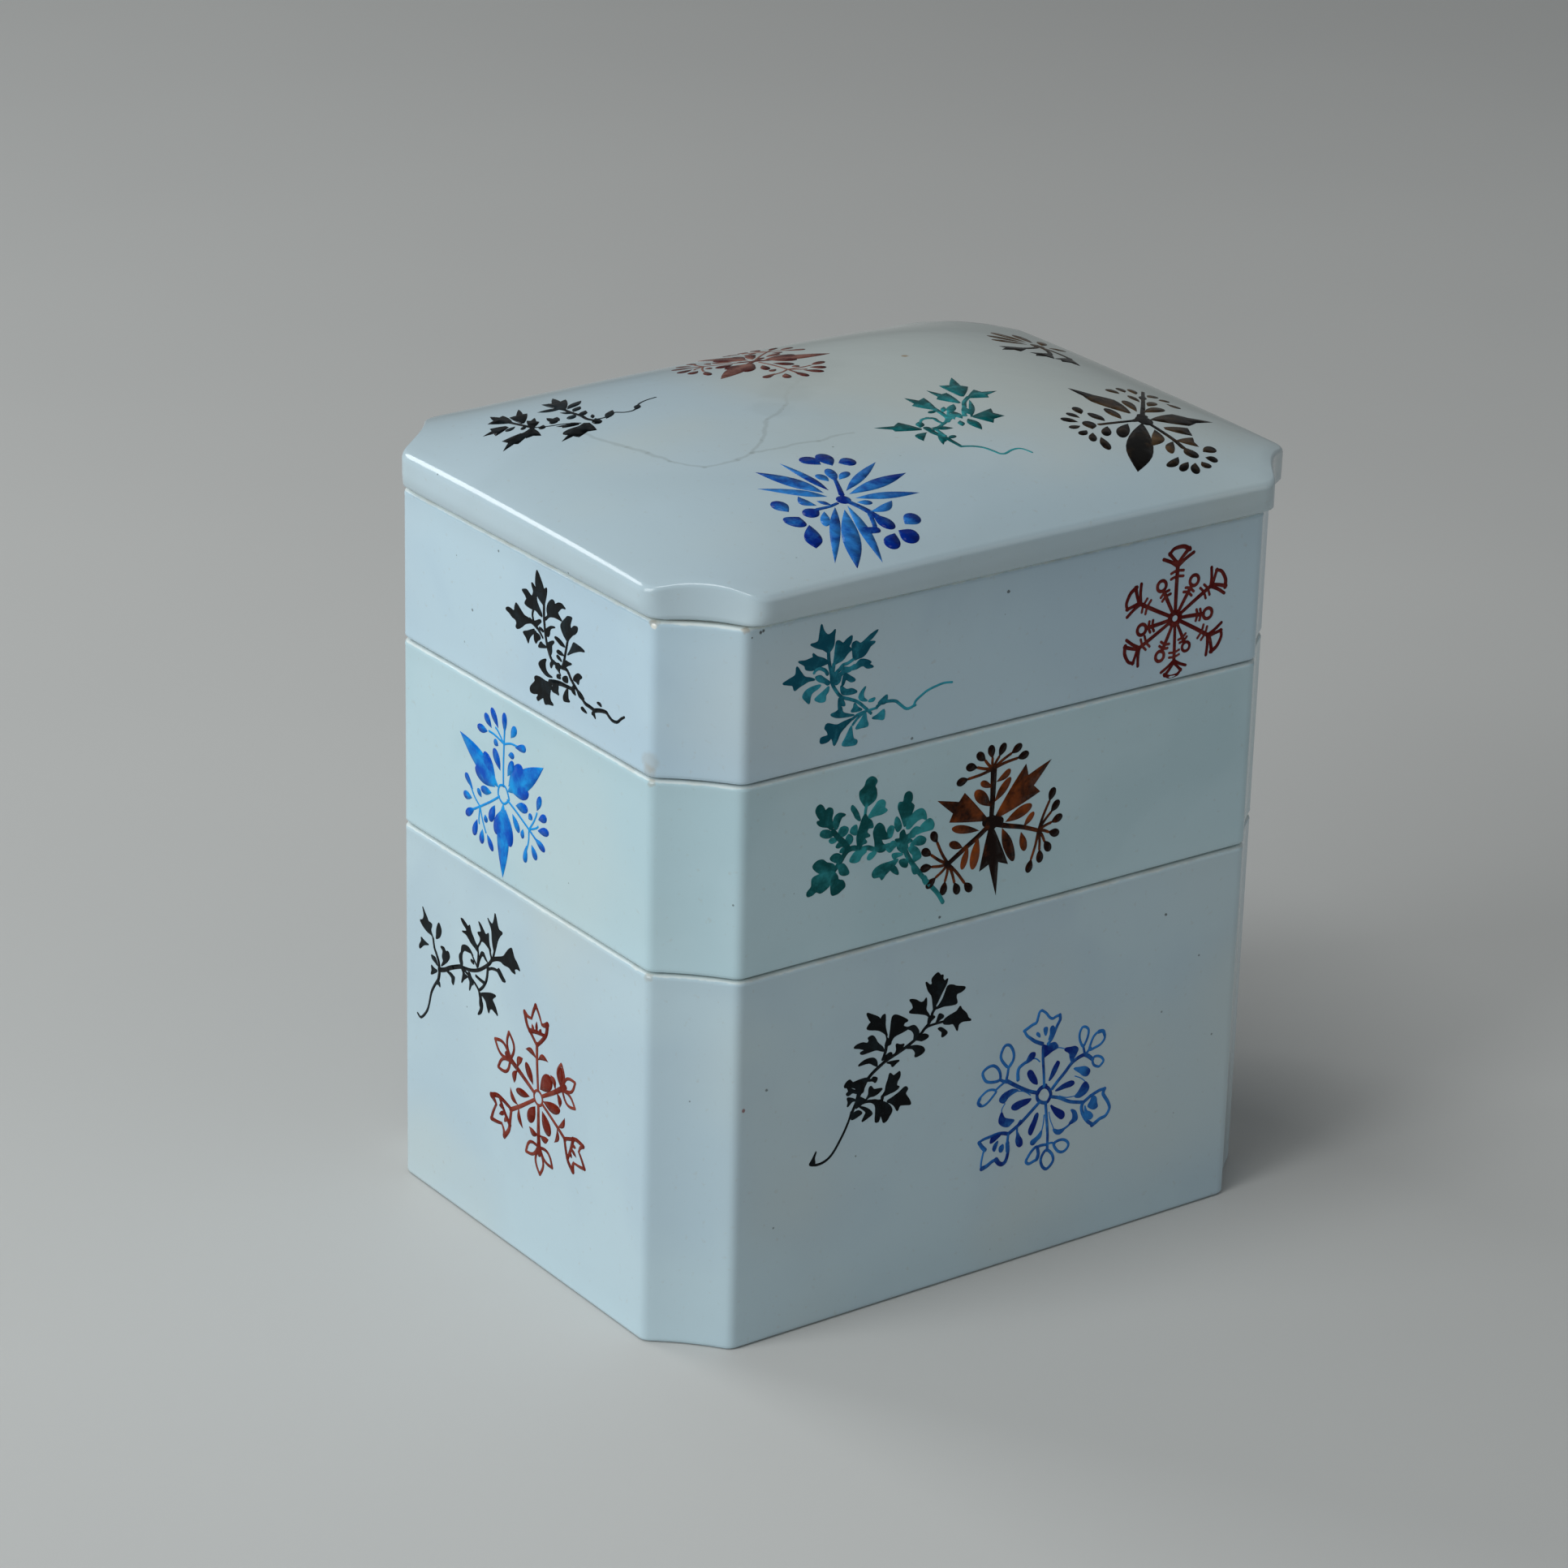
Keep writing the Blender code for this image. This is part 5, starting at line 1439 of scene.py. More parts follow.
lower_front_blue_roundel = [
    trail(112, 316, 9, -5, 6, -11, -2, -9, -6, -6, -11, 3, -9, 8, -1, 11, 5, 8, width=0.56, closed=True,
          shade=(0.72, 0.72)),
    trail(98, 307, 7, 8, 10, 2, width=0.74),
    patch(96, 325, -9, 5, -8, 10, -4, 10, 3, 5, 6, -2, 5, -7, 6, -11, 2, -8, shade=(0.9, 1.1)),
    patch(122, 325, 3, 9, 4, 11, 7, 10, 3, 2, 4, -4, -3, -8, -5, -9, -7, -8, shade=(0.8, 1)),
    patch(137, 302, 7, 4, 10, 4, 14, 2, 7, -2, 2, -5, -7, -3, -12, 0, -12, -1, shade=(0.8, 1.1)),
    patch(128, 277, 9, -6, 11, -7, 9, -7, 2, -8, -5, -4, -7, 4, -10, 11, shade=(0.9, 1.3)),
    patch(100, 270, 2, -6, -4, -13, -5, -12, -5, -7, -5, 5, 1, 9, 7, 12, 4, 9, shade=(0.8, 1)),
    patch(85, 300, -7, -6, -12, -3, -12, -3, -9, 4, 0, 6, 9, 4, 13, 1, 11, -1, shade=(0.9, 1.1)),
    trail(67, 370, 10, 5, 14, -1, 9, -8, width=0.16, shade=(0.34, 0.09)),
    trail(115, 374, 11, 5, 13, 3, 13, -5, width=0.1, shade=(0.26, 0.09)),
    trail(178, 319, 13, -7, 9, -8, width=0.1, shade=(0.09, 0.17)),
    trail(182, 281, -20, 2, -16, 7, width=0.1, shade=(0.26, 0.09)),
    trail(172, 230, -8, -4, -9, -2, width=0.34, shade=(0.42, 0.26)),
    trail(137, 231, -8, 18, -4, 16, width=0.1, shade=(0.17, 0.09)),
    trail(58, 243, 0, 13, 6, 9, width=0.34, shade=(0.59, 0.34)),
    trail(111, 232, 3, 15, 1, 15, width=0.16, shade=(0.34, 0.17)),
    trail(23, 289, 0, 8, 6, 9, width=0.12, shade=(0.34, 0.09)),
    trail(54, 323, 16, -5, 13, -10, width=0.12, shade=(0.34, 0.17)),
    patch(67, 370, 5, 6, 5, 8, 5, 3, 7, -2, 0, -6, -5, -5, -8, -3, shade=(0.6, 0.9)),
    trail(55, 344, -1, 13, 3, 9, 12, 6, width=0.64, end_width=0.54, shade=(0.21, 0.51)),
    patch(107, 376, -3, 10, 2, 9, 8, -3, 7, 2, 9, 0, 5, -4, 3, -7, -12, -4, -9, -4, -7, -3,
          shade=(1, 0.6)),
    patch(169, 348, -4, 10, -2, 8, -9, 7, 1, 4, 11, -1, 10, -1, 6, -6, -3, -8, -5, -7, shade=(0.7, 1)),
    patch(175, 334, 13, -1, 12, -2, 9, -7, 1, -6, -5, -5, -8, 2, -9, 8, shade=(0.3, 0.7)),
    patch(180, 280, 7, 7, 5, 7, 5, 6, 5, 2, 5, -5, 3, -8, -5, -8, -9, -4, -7, -1, shade=(0.4, 0.75)),
    patch(173, 257, 9, -4, 5, -9, 1, -8, -5, -4, -11, -2, -1, 3, 6, 6, 0, 10, shade=(0.5, 0.7)),
    patch(136, 230, 10, -4, 9, -1, 7, 0, -5, -5, -7, -3, -9, 4, shade=(0.3, 0.4)),
    patch(58, 246, 6, -10, 5, -8, 1, -9, -5, -3, -6, 4, -3, 9, 1, 9, shade=(0.5, 0.95)),
    patch(111, 234, -1, -11, -7, -5, -8, -6, -6, 2, 0, 6, 9, 4, 6, 4, shade=(0.3, 0.6)),
    patch(50, 270, -12, 5, -9, 5, -6, 11, -5, -10, 1, -9, 9, -8, 10, -3, 7, 4, shade=(0.5, 0.95)),
    patch(56, 324, -9, -3, -10, -4, -6, -6, -5, -3, -8, 5, 0, 6, 7, 6, 10, 3, 10, 1, shade=(0.5, 0.75)),
    trail(112, 317, -2, 25, -3, 27, -1, 23, width=0.42, end_width=0.54, shade=(0.42, 0.68)),
    trail(130, 308, 11, 11, 15, 13, 13, 13, 14, 7, 14, 3, width=0.56, end_width=0.64, shade=(0.42, 0.81)),
    trail(197, 355, 9, -6, 9, -8, width=0.74, end_width=0.64, shade=(0.81, 0.68)),
    trail(129, 293, 18, -7, 23, -13, 30, -9, width=0.52, end_width=0.56, shade=(0.51, 0.59)),
    trail(117, 283, 3, -24, 4, -32, 1, -24, width=0.5, end_width=0.46, shade=(0.51, 0.47)),
    trail(103, 289, -12, -9, -13, -10, -14, -10, -13, -7, -12, -6, width=0.54, end_width=0.64,
          shade=(0.47, 0.72)),
    trail(96, 309, -16, 7, -17, 10, -18, 12, -14, 10, width=0.59, end_width=0.64, shade=(0.68, 0.55)),
    trail(104, 398, -15, 8, -10, 8, -9, 8, -6, 10, width=0.64, end_width=0.36, shade=(0.68, 0.26)),
    trail(64, 432, 7, 3, 10, 4, 8, 2, 3, 8, 3, 10, 5, 2, width=0.54, end_width=0.4, shade=(0.21, 0.42)),
    trail(100, 461, 9, -7, 8, -10, 7, -4, 7, 2, 8, 1, width=0.36, end_width=0.44, shade=(0.34, 0.34)),
    trail(139, 443, 1, -9, -6, -10, -5, -11, -5, -10, -8, -8, width=0.54, end_width=0.49,
          shade=(0.64, 0.42)),
    patch(110, 412, -4, 10, 1, 5, 6, -1, 0, -8, shade=(0.5, 0.65)),
    patch(117, 402, 3, 10, 0, 11, 5, 3, 4, -7, -3, -11, shade=(0.5, 0.65)),
    patch(98, 412, -7, 6, 1, 4, 5, -4, shade=(0.4, 0.4)),
    trail(199, 264, 8, 4, 7, 4, 9, 3, 12, 3, 10, 0, width=0.59, end_width=0.49, shade=(0.51, 0.42)),
    trail(245, 278, -3, -8, 5, -9, 7, -11, 4, -11, -3, -8, width=0.64, end_width=0.49,
          shade=(0.51, 0.38)),
    trail(255, 231, -6, -6, -11, -2, -8, -4, -9, -4, width=0.49, end_width=0.69, shade=(0.42, 0.59)),
    trail(221, 217, -9, 7, -8, 10, -6, 12, -2, 11, 3, 7, width=0.59, end_width=0.64, shade=(0.51, 0.64)),
    patch(210, 255, 5, 8, 4, 8, 8, -5, 2, -10, 2, -8, -7, -3, -9, 4, shade=(0.4, 0.55)),
    patch(203, 257, 5, -11, 8, -5, 6, -9, -7, -4, -10, 11, shade=(0.35, 0.35)),
    trail(39, 247, -11, 4, -12, 2, -13, -1, -14, -1, -12, -3, width=0.64, end_width=0.38,
          shade=(0.68, 0.34)),
    trail(-23, 247, 6, -9, 7, -8, width=0.59, end_width=0.74, shade=(0.47, 0.42)),
    trail(-13, 226, -3, -14, -1, -11, width=0.3, shade=(0.17, 0.17)),
    trail(-15, 196, 10, 2, 10, 5, 10, 3, width=0.79, end_width=0.49, shade=(0.68, 0.51)),
    trail(15, 205, 6, -8, 7, -4, 7, 3, 4, 11, 1, 14, -2, 12, 1, 12, width=0.84, end_width=0.42,
          shade=(0.72, 0.38)),
    patch(23, 250, -8, -6, -8, -4, -6, 0, 2, 9, 8, 2, shade=(0.8, 0.85)),
    patch(17, 239, -7, -4, -3, -8, 4, -5, 5, 10, shade=(0.5, 0.65)),
    patch(28, 230, -7, -4, 1, -8, 5, -1, 3, 6, shade=(0.5, 0.6)),
    trail(38, 230, 1, -14, width=0.74, shade=(0.51, 0.51)),
    trail(192, 371, -7, 14, -1, 12, 5, 10, 8, -1, 6, -7, -1, -12, -5, -11, width=0.39, closed=True,
          shade=(0.42, 0.26)),
    trail(197, 356, -2, 8, -3, 9, width=0.39, shade=(0.59, 0.42)),
    trail(207, 361, 3, 13, 6, 11, 9, 5, 8, -1, 6, -9, -1, -8, -8, -7, -12, -3, width=0.39, closed=True,
          shade=(0.34, 0.42)),
    trail(226, 390, 9, -1, 4, -9, width=0.69, end_width=0.49, shade=(0.59, 0.51)),
    trail(199, 354, 5, 5, 5, 5, width=0.44, shade=(0.68, 0.34)),
    trail(215, 338, 2, 6, 7, 1, 9, -4, 6, -8, -4, -6, -6, -3, -10, 5, width=0.39, closed=True,
          shade=(0.59, 0.26)),
    trail(33, 373, -11, 11, -6, 12, 3, 12, 6, 7, 9, -2, 7, -10, 3, -12, -3, -11, width=0.46, closed=True,
          shade=(0.38, 0.51)),
    trail(29, 347, 3, 12, 2, 13, 7, 9, width=0.44, end_width=0.4, shade=(0.51, 0.38)),
    trail(16, 354, -13, -1, -14, 4, -7, 8, -3, 11, 9, 7, 12, 1, 10, -7, 6, -11, width=0.46, closed=True,
          shade=(0.51, 0.42)),
    trail(31, 346, -7, 3, -8, 5, width=0.54, end_width=0.44, shade=(0.51, 0.42)),
    trail(9, 334, -8, -9, -10, -8, -10, -3, -9, 5, 1, 9, 8, 7, 10, 5, 11, -1, width=0.36, closed=True,
          shade=(0.42, 0.26)),
    trail(-25, 329, -3, -7, 5, -6, width=0.56, shade=(0.42, 0.59)),
    trail(25, 346, -10, -5, -8, -5, width=0.34, shade=(0.34, 0.34)),
    trail(102, 206, -10, -5, -7, -8, -5, -9, 6, -6, 10, 2, 9, 3, 1, 11, width=0.48, closed=True,
          shade=(0.51, 0.59)),
    trail(125, 204, -13, 2, -8, -2, 2, -12, -3, -10, width=0.42, end_width=0.64, shade=(0.42, 0.64)),
    trail(122, 194, -7, -7, -3, -10, 4, -12, 8, -7, 8, 3, 7, 9, -2, 11, -8, 10, width=0.48, closed=True,
          shade=(0.51, 0.59)),
    trail(125, 204, 0, -11, width=0.48, shade=(0.51, 0.51)),
    trail(139, 202, 7, 3, 10, 0, 9, -4, 6, -8, -3, -8, -9, -4, -10, 4, -8, 10, width=0.44, closed=True,
          shade=(0.51, 0.42)),
    trail(126, 205, 8, 0, 7, -4, width=0.3, shade=(0.34, 0.42)),
]
paint("lower_front_blue_roundel", "lower", lower_shell, FRONT, cobalt_enamel,
      [lower_front_blue_roundel])

lobed_leaf = [
    blade((1.5, 0), (15, 0.1), 3.6, 0.44, shade=(0.1, 0.8)),
    drop((2.4, 0.7), (8.6, 2.3), 2.7, 0.62, shade=(0.3, 1.1)),
    drop((3.2, -0.8), (7.9, -2.2), 2.2, shade=(0.4, 1.2)),
    blade((9, 0.6), (15, 0.1), 1.4, 0.35, shade=(0.6, 0.3)),
]
umbel = [
    line((1.5, 0), (5, 0.1), (9.4, 0), width=0.35, shade=(0.3, 0.2)),
    line((9, 0), (9.6, 2.6), (9.7, 4.6), width=0.3, shade=(0.2, 0.1)),
    line((9, 0), (10.6, 1.8), (11, 2.6), width=0.3, shade=(0.2, 0.1)),
    line((9, 0), (11.4, -0.1), width=0.35, shade=(0.3, 0.4)),
    line((9, 0), (9.8, -2), (10, -4), width=0.3, shade=(0.2, 0.1)),
    drop((9.5, 5), (9.3, 8.2), 1.4, shade=(0.6, 0.9)),
    drop((10.5, 3.8), (12.4, 6), 1.5, 0.65, shade=(0.6, 0.95)),
    drop((11.2, 1.8), (14.1, 4), 1.5, 0.65),
    drop((11, -0.1), (14.6, 0), 1.4, 0.65, shade=(0.5, 0.95)),
    drop((10.8, -2), (13.2, -3.5), 1.5, 0.65, shade=(0.4, 0.7)),
    drop((9.6, -3.3), (10.5, -6.6), 1.3, 0.75, shade=(0.6, 0.7)),
    drop((8.1, 1.7), (8.6, 3.1), 1.2, shade=(0.5, 0.6)),
    drop((7.5, -1.3), (8, -3.1), 1.1, shade=(0.5, 0.7)),
    drop((3.9, 1), (7.2, 3.1), 1.8, shade=(0.6, 0.95)),
    drop((3.7, -1.2), (6.9, -2.8), 1.5, shade=(0.3, 0.8)),
]
light_hub = [circle((0, 0), 1.65, 0.35, (0.2, 0.3), 3)]
MIDDLE_BLUE_CENTRE = (-5.8, 82.6)
middle_blue_arms = around(0, MIDDLE_BLUE_CENTRE, 0)
middle_blue_arms += around(1, MIDDLE_BLUE_CENTRE, 153, -91, 36)
middle_blue_arms += around(2, MIDDLE_BLUE_CENTRE, 89)
middle_blue_arms += around(2, MIDDLE_BLUE_CENTRE, 213, -24, reach=0.95)
paint("middle_left_blue_roundel", "middle", middle_shell, LEFT, bright_cobalt_enamel,
      [light_hub, lobed_leaf, umbel], middle_blue_arms)

# The red roundels: outlined flowers and bare snowflake arms in an opaque red made with iron
# oxide, and leaves and umbels of buds in a russet, all brownish where the brush was lifted.
RED_ROUGHNESS = 0.26
iron_red_enamel = enamel("iron_red_enamel", tone(136, 62, 54), tone(86, 8, 6), RED_ROUGHNESS)
brick_red_enamel = enamel("brick_red_enamel", tone(142, 66, 50), tone(102, 20, 0), RED_ROUGHNESS)


def ticks(*places, half=1.3, slant=0.3):
    """Short strokes across an arm."""
    return [line((x - slant, half), (x, 0.1), (x - slant * 0.6, -half), width=0.42, shade=(0.6, 0.7))
            for x in places]


def bud(start, end, width, shade, bend=0.0):
    """The brushed outline of a bud that is pointed at both ends."""
    outline = petal(start, end, width, 0.5, False, bend)
    return line(*outline[::2], width=0.5, closed=True, shade=shade)


fan_arm = [
    line((1, 0), (5, 0.05), (9.7, 0), width=0.6, end_width=0.74),
    line((9.2, 0.1), (10.1, 1.4), (10.9, 3.1), width=0.6, end_width=0.54),
    line((9.2, -0.1), (10.2, -1.6), (11, -3.3), width=0.6, end_width=0.54),
    line((9.8, 0.1), (10.7, 1), (11.7, 1.9), width=0.48, end_width=0.6),
    line((9.8, -0.1), (10.8, -1.1), (11.9, -2.3), width=0.48, end_width=0.72),
    line((11.5, 1.9), (12.3, 1.1), (12.5, 0), (12.4, -1.2), (11.7, -2.4), width=0.5, end_width=0.74),
] + ticks(7.4, 8.4)
ring_arm = [
    line((1, 0), (4, 0.05), (6.2, 0), width=0.54, end_width=0.72, shade=(0.8, 0.7)),
    circle((7.2, 0), 0.95, 0.54, (0.8, 0.7)),
] + ticks(4.9, 5.7, half=1.0)
snow_hub = [circle((0, 0), 1.05, 0.9, (0.95, 0.95))]
SNOW_CENTRE = (34.3, 111.4)
snow_arms = around(0, SNOW_CENTRE, 0) + around(1, SNOW_CENTRE, 90)
snow_arms += around(1, SNOW_CENTRE, 30, -31, 152, reach=0.93)
snow_arms += around(1, SNOW_CENTRE, 207, reach=0.9) + around(1, SNOW_CENTRE, -88, reach=0.82)
snow_arms += around(2, SNOW_CENTRE, 117, 58, -4, 185, reach=0.98)
snow_arms += around(2, SNOW_CENTRE, -64, reach=0.85) + around(2, SNOW_CENTRE, -115, reach=0.94)
paint("upper_front_red_snowflake", "upper", upper_shell, FRONT, iron_red_enamel,
      [snow_hub, fan_arm, ring_arm], snow_arms)

red_tulip = [
    line((1.4, 0), (6, 0.1), (9.8, 0), width=0.54, end_width=0.72, shade=(0.3, 0.5)),
    line((9.6, 0.1), (11, 1.6), (12.3, 2.9), (14.4, 3.6), width=0.6, end_width=0.78, shade=(0.5, 0.8)),
    line((14.4, 3.6), (13.9, 2.6), (13.9, 1.5), width=0.78, end_width=0.36, shade=(0.8, 0.4)),
    line((13.9, 1.5), (15.3, 0.9), (16.7, 0.1), width=0.42, end_width=0.72, shade=(0.6, 0.9)),
    line((16.7, 0.1), (15.5, -0.8), (13.8, -1.7), width=0.66, end_width=0.36, shade=(0.8, 0.4)),
    line((13.8, -1.7), (13.9, -2.4), (14.4, -3.4), width=0.48, end_width=0.96, shade=(0.6, 0.9)),
    line((14.4, -3.4), (12.6, -3), (11.2, -1.9), (9.6, -0.1), width=0.84, end_width=0.6,
         shade=(0.9, 0.7)),
    line((11.5, 2.2), (11.9, 0.2), (12.1, -2.6), width=0.84, end_width=0.54, shade=(0.9, 0.8)),
    blade((11.7, 0.1), (13.9, -0.1), 0.7),
    blade((11.7, 0.9), (13, 1.4), 0.7, shade=(0.6, 0.5)),
    blade((11.7, -0.9), (13, -1.4), 0.8),
    blade((6.9, 0.2), (7.7, 3.6), 1.0, 0.55, -0.6, shade=(0.5, 0.8)),
    blade((6.9, -0.2), (7.6, -3.4), 1.0, 0.5, 0.7, shade=(0.7, 0.6)),
]
red_trefoil = [
    line((1.4, 0), (6, -0.1), (9.4, 0), width=0.6, end_width=1.1, shade=(0.4, 0.8)),
    bud((9.3, 0), (14, 0.1), 2.3, (0.7, 0.4)),
    bud((9, 0.3), (11.3, 4), 2, (0.8, 0.5), 0.2),
    bud((9, -0.3), (11.3, -4.1), 2, (0.8, 0.4), -0.2),
    drop((8.6, 0), (10.8, 0), 1.2),
    blade((6.6, 0.2), (6.5, 3), 1.2, 0.6, -0.5, shade=(0.8, 0.6)),
    blade((6.8, -0.2), (6.3, -3), 1.2, 0.6, 0.5, shade=(0.8, 0.6)),
]
red_hub = [
    circle((0, 0), 1.3, 0.42, (0.3, 0.4)),
    drop((-1.6, 1.8), (-3.9, 5.1), 1.7, 0.55),
    drop((0.5, 1.8), (4, 5.2), 2.9),
    drop((1.4, 0), (6.7, 0.4), 1.9, 0.6, -0.3),
    drop((1.2, -1.9), (3.5, -5.7), 2.4),
    drop((-0.9, -1.9), (-3, -5.5), 2.2),
    drop((-2.6, -0.8), (-6.9, -1.3), 1.4),
    drop((7.2, 5), (6.9, 8.4), 2.0),
]
RED_CENTRE = (5.3, 31.6)
red_arms = around(0, RED_CENTRE, 0) + around(1, RED_CENTRE, 93)
red_arms += around(1, RED_CENTRE, -27.5, reach=0.95)
red_arms += around(1, RED_CENTRE, 213.5, reach=1.05) + around(2, RED_CENTRE, 33, reach=0.95)
red_arms += around(2, RED_CENTRE, -88) + around(2, RED_CENTRE, 157, reach=1.04)
paint("lower_left_red_roundel", "lower", lower_shell, LEFT, brick_red_enamel,
      [red_hub, red_tulip, red_trefoil], red_arms)

russet_enamel = enamel("russet_enamel", tone(140, 96, 84), tone(74, 22, 18), RED_ROUGHNESS)
russet_hub = [
    line((-2.4, -1.4), (0, 0), (2.6, 1.2), width=0.8, shade=(0.6, 0.8)),
    line((-2.2, 1.2), (0, 0), (2.4, -1.3), width=0.8, shade=(0.6, 0.8)),
    drop((0.8, 1.6), (2.8, 5.4), 1.7, shade=(0.4, 0.6)),
    drop((-1.2, -1.4), (-4.2, -4), 1.8, shade=(0.4, 0.6)),
    drop((2.4, -1.6), (5.4, -3.4), 2.0, shade=(0.6, 0.9)),
]
RUSSET_CENTRE = (2, 30)
russet_arms = around(0, RUSSET_CENTRE, 0) + around(1, RUSSET_CENTRE, -20, 100, reach=0.9)
russet_arms += around(2, RUSSET_CENTRE, 40, 155, 275, reach=0.98)
russet_arms += around(1, RUSSET_CENTRE, 210, reach=0.9)
paint("lid_russet_roundel", "cover", lid_shell, TOP, russet_enamel,
      [russet_hub, lobed_leaf, umbel], russet_arms)

# The brown roundels: maple-like leaves and umbels of buds in an amber enamel that fires almost
# black where it lies thick.
brown_enamel = enamel("brown_enamel", tone(136, 66, 24), tone(24, 8, 4))
dark_brown_enamel = enamel("dark_brown_enamel", tone(84, 64, 42), tone(12, 10, 8))

middle_front_brown = [
    leaf((-1.8, 83.7), (9.5, 91.7), (4.2, 92), (7.4, 86.4), notch=0.76, bow=0.04, shade=(0.35, 0.75)),
    leaf((-3.5, 83.8), (-13.9, 89.4), (-8.3, 89.6), (-11.3, 85), notch=0.78, bow=0.02,
         shade=(0.45, 0.75)),
    leaf((-2.6, 82.2), (-1, 69.7), (-4.7, 74.8), (1.3, 74.8), notch=0.66, bow=0.02, neck=0.5,
         shade=(0.9, 1.1)),
    dot((-2.6, 83), 1.4, shade=(1.1, 1.1)),
    line((-3.6, 83.4), (-2.6, 83), (-0.9, 82.9), width=1.7, shade=(1, 1)),
    line((-2.6, 84), (-2.5, 88), (-2.5, 92.4), width=0.8, end_width=1.2, shade=(1, 1)),
    line((-3.4, 82.4), (-5.2, 81.2), (-8, 79.6), (-11.2, 77.7), width=0.9, end_width=0.8, shade=(0.7, 1)),
    line((-1.6, 82.6), (0.6, 81.8), (4, 80.8), (7.4, 79.4), width=0.9, end_width=0.6, shade=(0.9, 0.7)),
    drop((-2.8, 86), (-6.2, 89.4), 2.0, shade=(0.7, 0.5)),
    drop((-2.1, 86.6), (1.1, 90.3), 1.5, 0.55, shade=(0.5, 0.4)),
    drop((-5, 82.2), (-10.7, 83.8), 1.4, 0.65, shade=(0.7, 0.5)),
    drop((-5.2, 81.2), (-6.1, 75.5), 1.8, shade=(0.5, 0.1)),
    drop((-7.2, 79.9), (-8.3, 76), 1.3, shade=(0.5, 0.2)),
    drop((-0.3, 81.6), (2.4, 75.1), 1.9, 0.5, shade=(0.5, 0.9)),
    drop((3.7, 80), (4.7, 76.4), 1.4, shade=(0.5, 0.7)),
    drop((0.3, 82.5), (5.8, 84.4), 1.9, shade=(0.6, 0.4)),
    drop((4.2, 80.8), (6.3, 83), 1.1, shade=(0.6, 0.1)),
    drop((-8.3, 79.9), (-11.1, 81.3), 1.3, shade=(0.8, 0.6)),
    drop((-2.6, 89.3), (-5.1, 90.7), 1.1, 0.7, shade=(0.7, 0.5)),
    drop((-1.9, 90.1), (1, 91.7), 1.2, 0.7, -0.2, shade=(0.8, 0.4)),
]
umbel_forks = ((-2.5, 92.6), (-11.2, 77.7), (7.4, 79.4))
bud_spots = (
    ((-8.9, 91.7), (-7.1, 93.8), (-5.2, 95.2), (-3.1, 95.7), (-0.9, 95.6), (2.1, 95.1), (3.5, 93.6)),
    ((-14.2, 83.1), (-15.7, 80.7), (-15.7, 78), (-14.6, 75.1), (-11.9, 73.5), (-9.3, 72.9), (-6.9, 72.6)),
    ((9.9, 85.4), (10.7, 83.1), (11.2, 80.7), (10.7, 78.3), (9.4, 76.2), (7.9, 74.7), (5.8, 73.4)),
)
for fork, spots in zip(umbel_forks, bud_spots):
    for spot in spots:
        ahead = (Vector(spot) - Vector(fork)).normalized()
        near, far = Vector(spot) - ahead * 1.3, Vector(spot) + ahead * 1.2
        bend = mix(Vector(fork), near, 0.5) + Vector((-ahead.y, ahead.x)) * 0.15
        middle_front_brown += [
            line(fork, bend, near, width=0.5, end_width=0.4, shade=(0.9, 0.5)),
            drop(near, far, 1.4, 0.6, shade=(0.9, 1.1)),
        ]
paint("middle_front_brown_roundel", "middle", middle_shell, FRONT, brown_enamel, [middle_front_brown])

